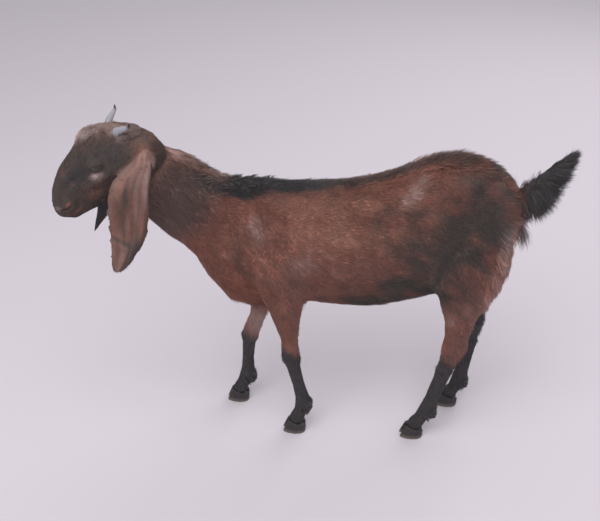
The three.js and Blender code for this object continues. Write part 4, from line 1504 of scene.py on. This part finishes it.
# %% Breeches and fetlocks
grow(
    "breech_hair", masks["breech"] * (masks["breech"] > 0.3), 2400, 24, 1.1, 0.4,
    bends=3, droop=0.5, wander=0.16, curve=0.05, lock=16, pull=0.5, scatter=0.6,
)
fetlock = np.zeros(len(points))
for leg in leg_lines:
    for side in ("left", "right"):
        claw = places(nodes[f"{leg}_{side}_dewclaw"].data).mean(0) / MM
        fetlock = np.maximum(fetlock, spot(room, claw + (5, 0, 4), (12, 8, 11)))
fetlock *= region("shank") + region("shin")
grow(
    "fetlock_hair", fetlock * (fetlock > 0.15), 2200, 13, 1.2, 0.55,
    bends=2, droop=0.2, wander=0.3, way=(-0.62, 0, -0.78), lock=12, pull=0.3,
)

# %% [markdown]
# ## The tail
# The tail is a short bone held up and back, with a flat brush of black hair a hand long. The hair falls
# from its root, streams out behind its middle and follows it up at the tip, so each part of the tail has
# its own way and length.

# %% The tail's hair
tail_share = region("tail") * ramp(body[:, 0], -318, -334)
# Each row: how far back, the way the hair runs (back, up) and its length.
FRINGE = [
    (-408, (-0.7, 0.75), 30), (-398, (-0.9, 0.5), 30), (-380, (-1, 0.1), 36),
    (-362, (-0.9, -0.45), 46), (-348, (-0.6, -0.8), 56), (-330, (-0.2, -1), 50),
]
fringe_x = [x for x, _, _ in FRINGE]
back_way = np.interp(body[:, 0], fringe_x, [way[0] for _, way, _ in FRINGE])
up_way = np.interp(body[:, 0], fringe_x, [way[1] for _, way, _ in FRINGE])
tail_way = np.stack([back_way, 0 * back_way, up_way], 1)
tail_long = np.interp(body[:, 0], fringe_x, [size for _, _, size in FRINGE])
behind = ramp((out * unit(tail_way)).sum(1), -0.3, 0.3)
grow(
    "tail_fringe", tail_share * behind, 4000, tail_long, 1.3, 0.75,
    bends=4, droop=0.1, wander=0.22, curve=0.05, way=tail_way, pull=0.4,
)
grow("tail_top", tail_share, 1700, 15, 1.2, 0.16, bends=3, wander=0.16, curve=0.05, lock=30, pull=0.3)

# %% [markdown]
# ## Eyes
# A goat's eye is an almost dark ball with a brown iris and a level slot for a pupil, and it stays wet. The
# ball is a sphere turned to look out along the gaze, with its front raised a little as a cornea. The iris
# and pupil are drawn by distance from the gaze, stored on the mesh in millimetres, so they stay put on the
# eye however it is lit.

# %% Eye finish
# A wet cornea: a clear coat gives the sharp glint over a softer eyeball.
eye_finish, tree, shader = new_material(
    "wet eye with brown iris", Roughness=0.2, Coat_Weight=1.0, Coat_Roughness=0.04, IOR=1.376
)
seat = add(tree, "ShaderNodeAttribute", {"attribute_name": "seat"})
axes = add(tree, "ShaderNodeSeparateXYZ", Vector=seat.outputs["Vector"])
# The pupil is a level slot: everything within 1.7 mm of a line 5.2 mm long.
level = add(tree, "ShaderNodeMath", {"operation": "ABSOLUTE"}, i0=axes.outputs["X"])
past = add(tree, "ShaderNodeMath", {"operation": "SUBTRACT"}, i0=level.outputs[0], i1=2.6)
past = add(tree, "ShaderNodeMath", {"operation": "MAXIMUM"}, i0=past.outputs[0], i1=0.0)
slot_gap = add(tree, "ShaderNodeCombineXYZ", X=past.outputs[0], Y=axes.outputs["Y"])
slot_gap = add(tree, "ShaderNodeVectorMath", {"operation": "LENGTH"}, i0=slot_gap.outputs[0])
pupil = add(
    tree, "ShaderNodeMapRange",
    Value=slot_gap.outputs["Value"], From_Min=1.5, From_Max=1.9, To_Min=1.0, To_Max=0.0,
)
flat = add(tree, "ShaderNodeCombineXYZ", X=axes.outputs["X"], Y=axes.outputs["Y"])
radius = add(tree, "ShaderNodeVectorMath", {"operation": "LENGTH"}, i0=flat.outputs[0])
rim = add(tree, "ShaderNodeMapRange", Value=radius.outputs["Value"], From_Min=7.4, From_Max=9.0)
# Fibres of the iris, about half a millimetre across, run out from the pupil.
fibres = add(tree, "ShaderNodeTexNoise", Vector=flat.outputs[0], Scale=1.6, Detail=3)
eye_layers = [
    ("#45301f", fibres.outputs["Fac"]),
    ("#0a0a0c", pupil.outputs["Result"]),
    ("#1c1512", rim.outputs["Result"]),
]
tree.links.new(layered(tree, "#1d140e", eye_layers), shader.inputs["Base Color"])
print("eye finish:", eye_finish.name)

# %% Eyeballs
for side, at in eyes.items():
    name = "left" if side == 1 else "right"
    gaze = GAZE[side]
    flat_way = Vector((0, 0, 1)).cross(gaze).normalized()
    rise_way = gaze.cross(flat_way)
    turn = Matrix((flat_way, rise_way, gaze)).transposed().to_4x4()
    bm = bmesh.new()
    bmesh.ops.create_uvsphere(bm, u_segments=48, v_segments=36, radius=EYE_RADIUS)
    for v in bm.verts:
        away = v.co.xy.length / MM
        if v.co.z > 0:
            v.co.z += 0.9 * MM * max(0.0, 1 - (away / 8) ** 2) ** 1.5
    seats = np.array([v.co[:] for v in bm.verts]) / MM
    seats[seats[:, 2] < 0, :2] = 20
    bmesh.ops.transform(bm, matrix=Matrix.Translation(at) @ turn, verts=bm.verts)
    mesh = bpy.data.meshes.new(f"eyeball_{name}")
    bm.to_mesh(mesh)
    bm.free()
    mesh.shade_smooth()
    store(mesh, "seat", "FLOAT_VECTOR", seats)
    mesh.materials.append(eye_finish)
    ball = put(f"eyeball_{name}", mesh)
    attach(ball, "root")
    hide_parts(f"{name}_eye")
print("eyeballs: 2, radius", EYE_RADIUS / MM, "mm")

# %% [markdown]
# ## Horns
# A young goat's horns are short grey sheaths of keratin over bone, ringed at the base by growth and worn
# smooth and dark at the tips. A ring is extruded along the curve of each horn. Small swells in its radius
# are the growth rings.

# %% The curve of a horn
# Places in the head's frame and the radius there, in millimetres.
HORN_PATH = [
    (28, 14, 29, 7.4), (22, 18.5, 37, 6.3), (14, 24.5, 37.8, 5.1),
    (7, 30, 37.2, 3.9), (1.5, 34.5, 37, 2.8), (-2.8, 36.5, 41.5, 0.9),
]
HORN_RINGS, HORN_SIDES = 44, 20


def through(points, steps):
    """Points on a smooth curve through the given ones (a Catmull-Rom curve)."""
    given = np.array([points[0], *points, points[-1]], float)
    where = np.linspace(0, len(points) - 1, steps)
    k = np.minimum(where.astype(int), len(points) - 2)
    t = (where - k)[:, None]
    a, b, c, d = (given[k + i] for i in range(4))
    cubic = (3 * b - a - 3 * c + d) * t ** 3
    return 0.5 * (2 * b + (c - a) * t + (2 * a - 5 * b + 4 * c - d) * t ** 2 + cubic)


print("horn rings:", HORN_RINGS)

# %% Horn finish
# Keratin weathered grey: a dull gloss, fine lengthwise flakes and a dark worn tip.
horn_finish, tree, shader = new_material("weathered keratin horn", Roughness=0.42)
along = add(tree, "ShaderNodeAttribute", {"attribute_name": "along"})
place = add(tree, "ShaderNodeTexCoord")
# Weathered flakes about 1.5 mm wide.
flakes = add(tree, "ShaderNodeTexNoise", Vector=place.outputs["Object"], Scale=650, Detail=4)
tip = add(tree, "ShaderNodeMapRange", Value=along.outputs["Fac"], From_Min=0.66, From_Max=0.88)
horn_layers = [("#b4b2ba", flakes.outputs["Fac"]), ("#2e292c", tip.outputs["Result"])]
tree.links.new(layered(tree, "#85828a", horn_layers), shader.inputs["Base Color"])
rough = add(tree, "ShaderNodeBump", Height=flakes.outputs["Fac"], Strength=0.3, Distance=0.0004)
tree.links.new(rough.outputs["Normal"], shader.inputs["Normal"])
print("horn finish:", horn_finish.name)

# %% Horns
for side, name in ((1, "left"), (-1, "right")):
    curve = through(HORN_PATH, HORN_RINGS)
    t = np.linspace(0, 1, HORN_RINGS)
    swell = 1 + 0.045 * np.sin(t * 58) * (1 - t) ** 1.2
    spots = [from_head((x, y * side, z)) for x, y, z, _ in curve]
    stations = []
    for i, at in enumerate(spots):
        way = spots[min(i + 1, HORN_RINGS - 1)] - spots[max(i - 1, 0)]
        r = curve[i, 3] * swell[i] * MM
        stations.append((at, way, r * 0.86, r))
    bm = bmesh.new()
    tube(bm, stations, HORN_SIDES)
    mesh = bpy.data.meshes.new(f"horn_{name}")
    bm.to_mesh(mesh)
    ring_of = np.array([v.index // HORN_SIDES for v in bm.verts]) / (HORN_RINGS - 1)
    bm.free()
    mesh.shade_smooth()
    store(mesh, "along", "FLOAT", ring_of)
    mesh.materials.append(horn_finish)
    horn = put(f"horn_{name}", mesh)
    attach(horn, "root")
    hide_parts(f"{name}_horn")
print("horns: 2,", HORN_RINGS, "rings each")

# %% [markdown]
# ## Hooves
# Each foot stands on two claws, with two small dewclaws behind the fetlock. The solids already have their
# shape, so copies are remeshed finely, rounded, and given the shallow growth rings that run round a hoof
# about every two millimetres. The soles are pressed flat again at floor level, because the goat stands on
# them.

# %% Hoof finish
# Hard horn, nearly black and dull, scratched by the ground and dusty at its edge.
hoof_finish, tree, shader = new_material("worn hoof horn", Roughness=0.58)
place = add(tree, "ShaderNodeTexCoord")
heights = add(tree, "ShaderNodeSeparateXYZ", Vector=place.outputs["Object"])
# Dust and wear pale the lowest 9 mm.
wear = add(
    tree, "ShaderNodeMapRange",
    Value=heights.outputs["Z"], From_Min=0.0, From_Max=0.009, To_Min=1.0, To_Max=0.0,
)
# Growth lines 2 mm apart, and chips about 2.5 mm wide.
lines = add(
    tree, "ShaderNodeTexWave", {"bands_direction": "Z"},
    Vector=place.outputs["Object"], Scale=160, Distortion=2.5, Detail=2,
)
chips = add(tree, "ShaderNodeTexNoise", Vector=place.outputs["Object"], Scale=420, Detail=4)
dusty = add(
    tree, "ShaderNodeMath", {"operation": "MULTIPLY"}, i0=wear.outputs["Result"], i1=chips.outputs["Fac"]
)
hoof_layers = [("#403b3b", chips.outputs["Fac"]), ("#9c8b82", dusty.outputs[0])]
tree.links.new(layered(tree, "#282526", hoof_layers), shader.inputs["Base Color"])
relief = add(tree, "ShaderNodeMath", {"operation": "ADD"}, i0=lines.outputs["Fac"], i1=chips.outputs["Fac"])
rough = add(tree, "ShaderNodeBump", Height=relief.outputs[0], Strength=0.5, Distance=0.0004)
tree.links.new(rough.outputs["Normal"], shader.inputs["Normal"])
print("hoof finish:", hoof_finish.name)

# %% Hooves
for leg in leg_lines:
    names = [f"{leg}_{side}_{kind}" for side in ("left", "right") for kind in ("claw", "dewclaw")]
    bm = bmesh.new()
    for name in names:
        bm.from_mesh(nodes[name].data)
        if "dewclaw" in name:
            # A second copy, nearer the leg, roots the dewclaw in the skin.
            known = set(bm.verts)
            bm.from_mesh(nodes[name].data)
            copied = [v for v in bm.verts if v not in known]
            bmesh.ops.translate(bm, vec=Vector((2.6, 0, 1.2)) * MM, verts=copied)
    bmesh.ops.remove_doubles(bm, verts=bm.verts, dist=1e-6)
    mesh = bpy.data.meshes.new(f"hooves_{leg}")
    bm.to_mesh(mesh)
    bm.free()
    hooves = put(f"hooves_{leg}", mesh)
    wrap = hooves.modifiers.new("wrap", "REMESH")
    wrap.mode = "VOXEL"
    wrap.voxel_size = 1.1 * MM
    settle(hooves)
    mesh = hooves.data
    spots, hoof_ends = places(mesh), edge_list(mesh)
    for _ in range(5):
        spots += 0.5 * (around(spots, hoof_ends) - spots)
    move_to(mesh, spots)
    rings = np.sin(spots[:, 2] / MM * 3.1 + 0.05 * spots[:, 0] / MM)
    spots += normals(mesh) * (0.16 * rings * ramp(spots[:, 2] / MM, 1.5, 4))[:, None] * MM
    spots[:, 2] = np.where(spots[:, 2] < 1.2 * MM, 0, spots[:, 2])
    move_to(mesh, spots)
    mesh.shade_smooth()
    mesh.materials.clear()
    mesh.materials.append(hoof_finish)
    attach(hooves, "root")
    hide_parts(*names)
    print(hooves.name, len(mesh.polygons), "faces")
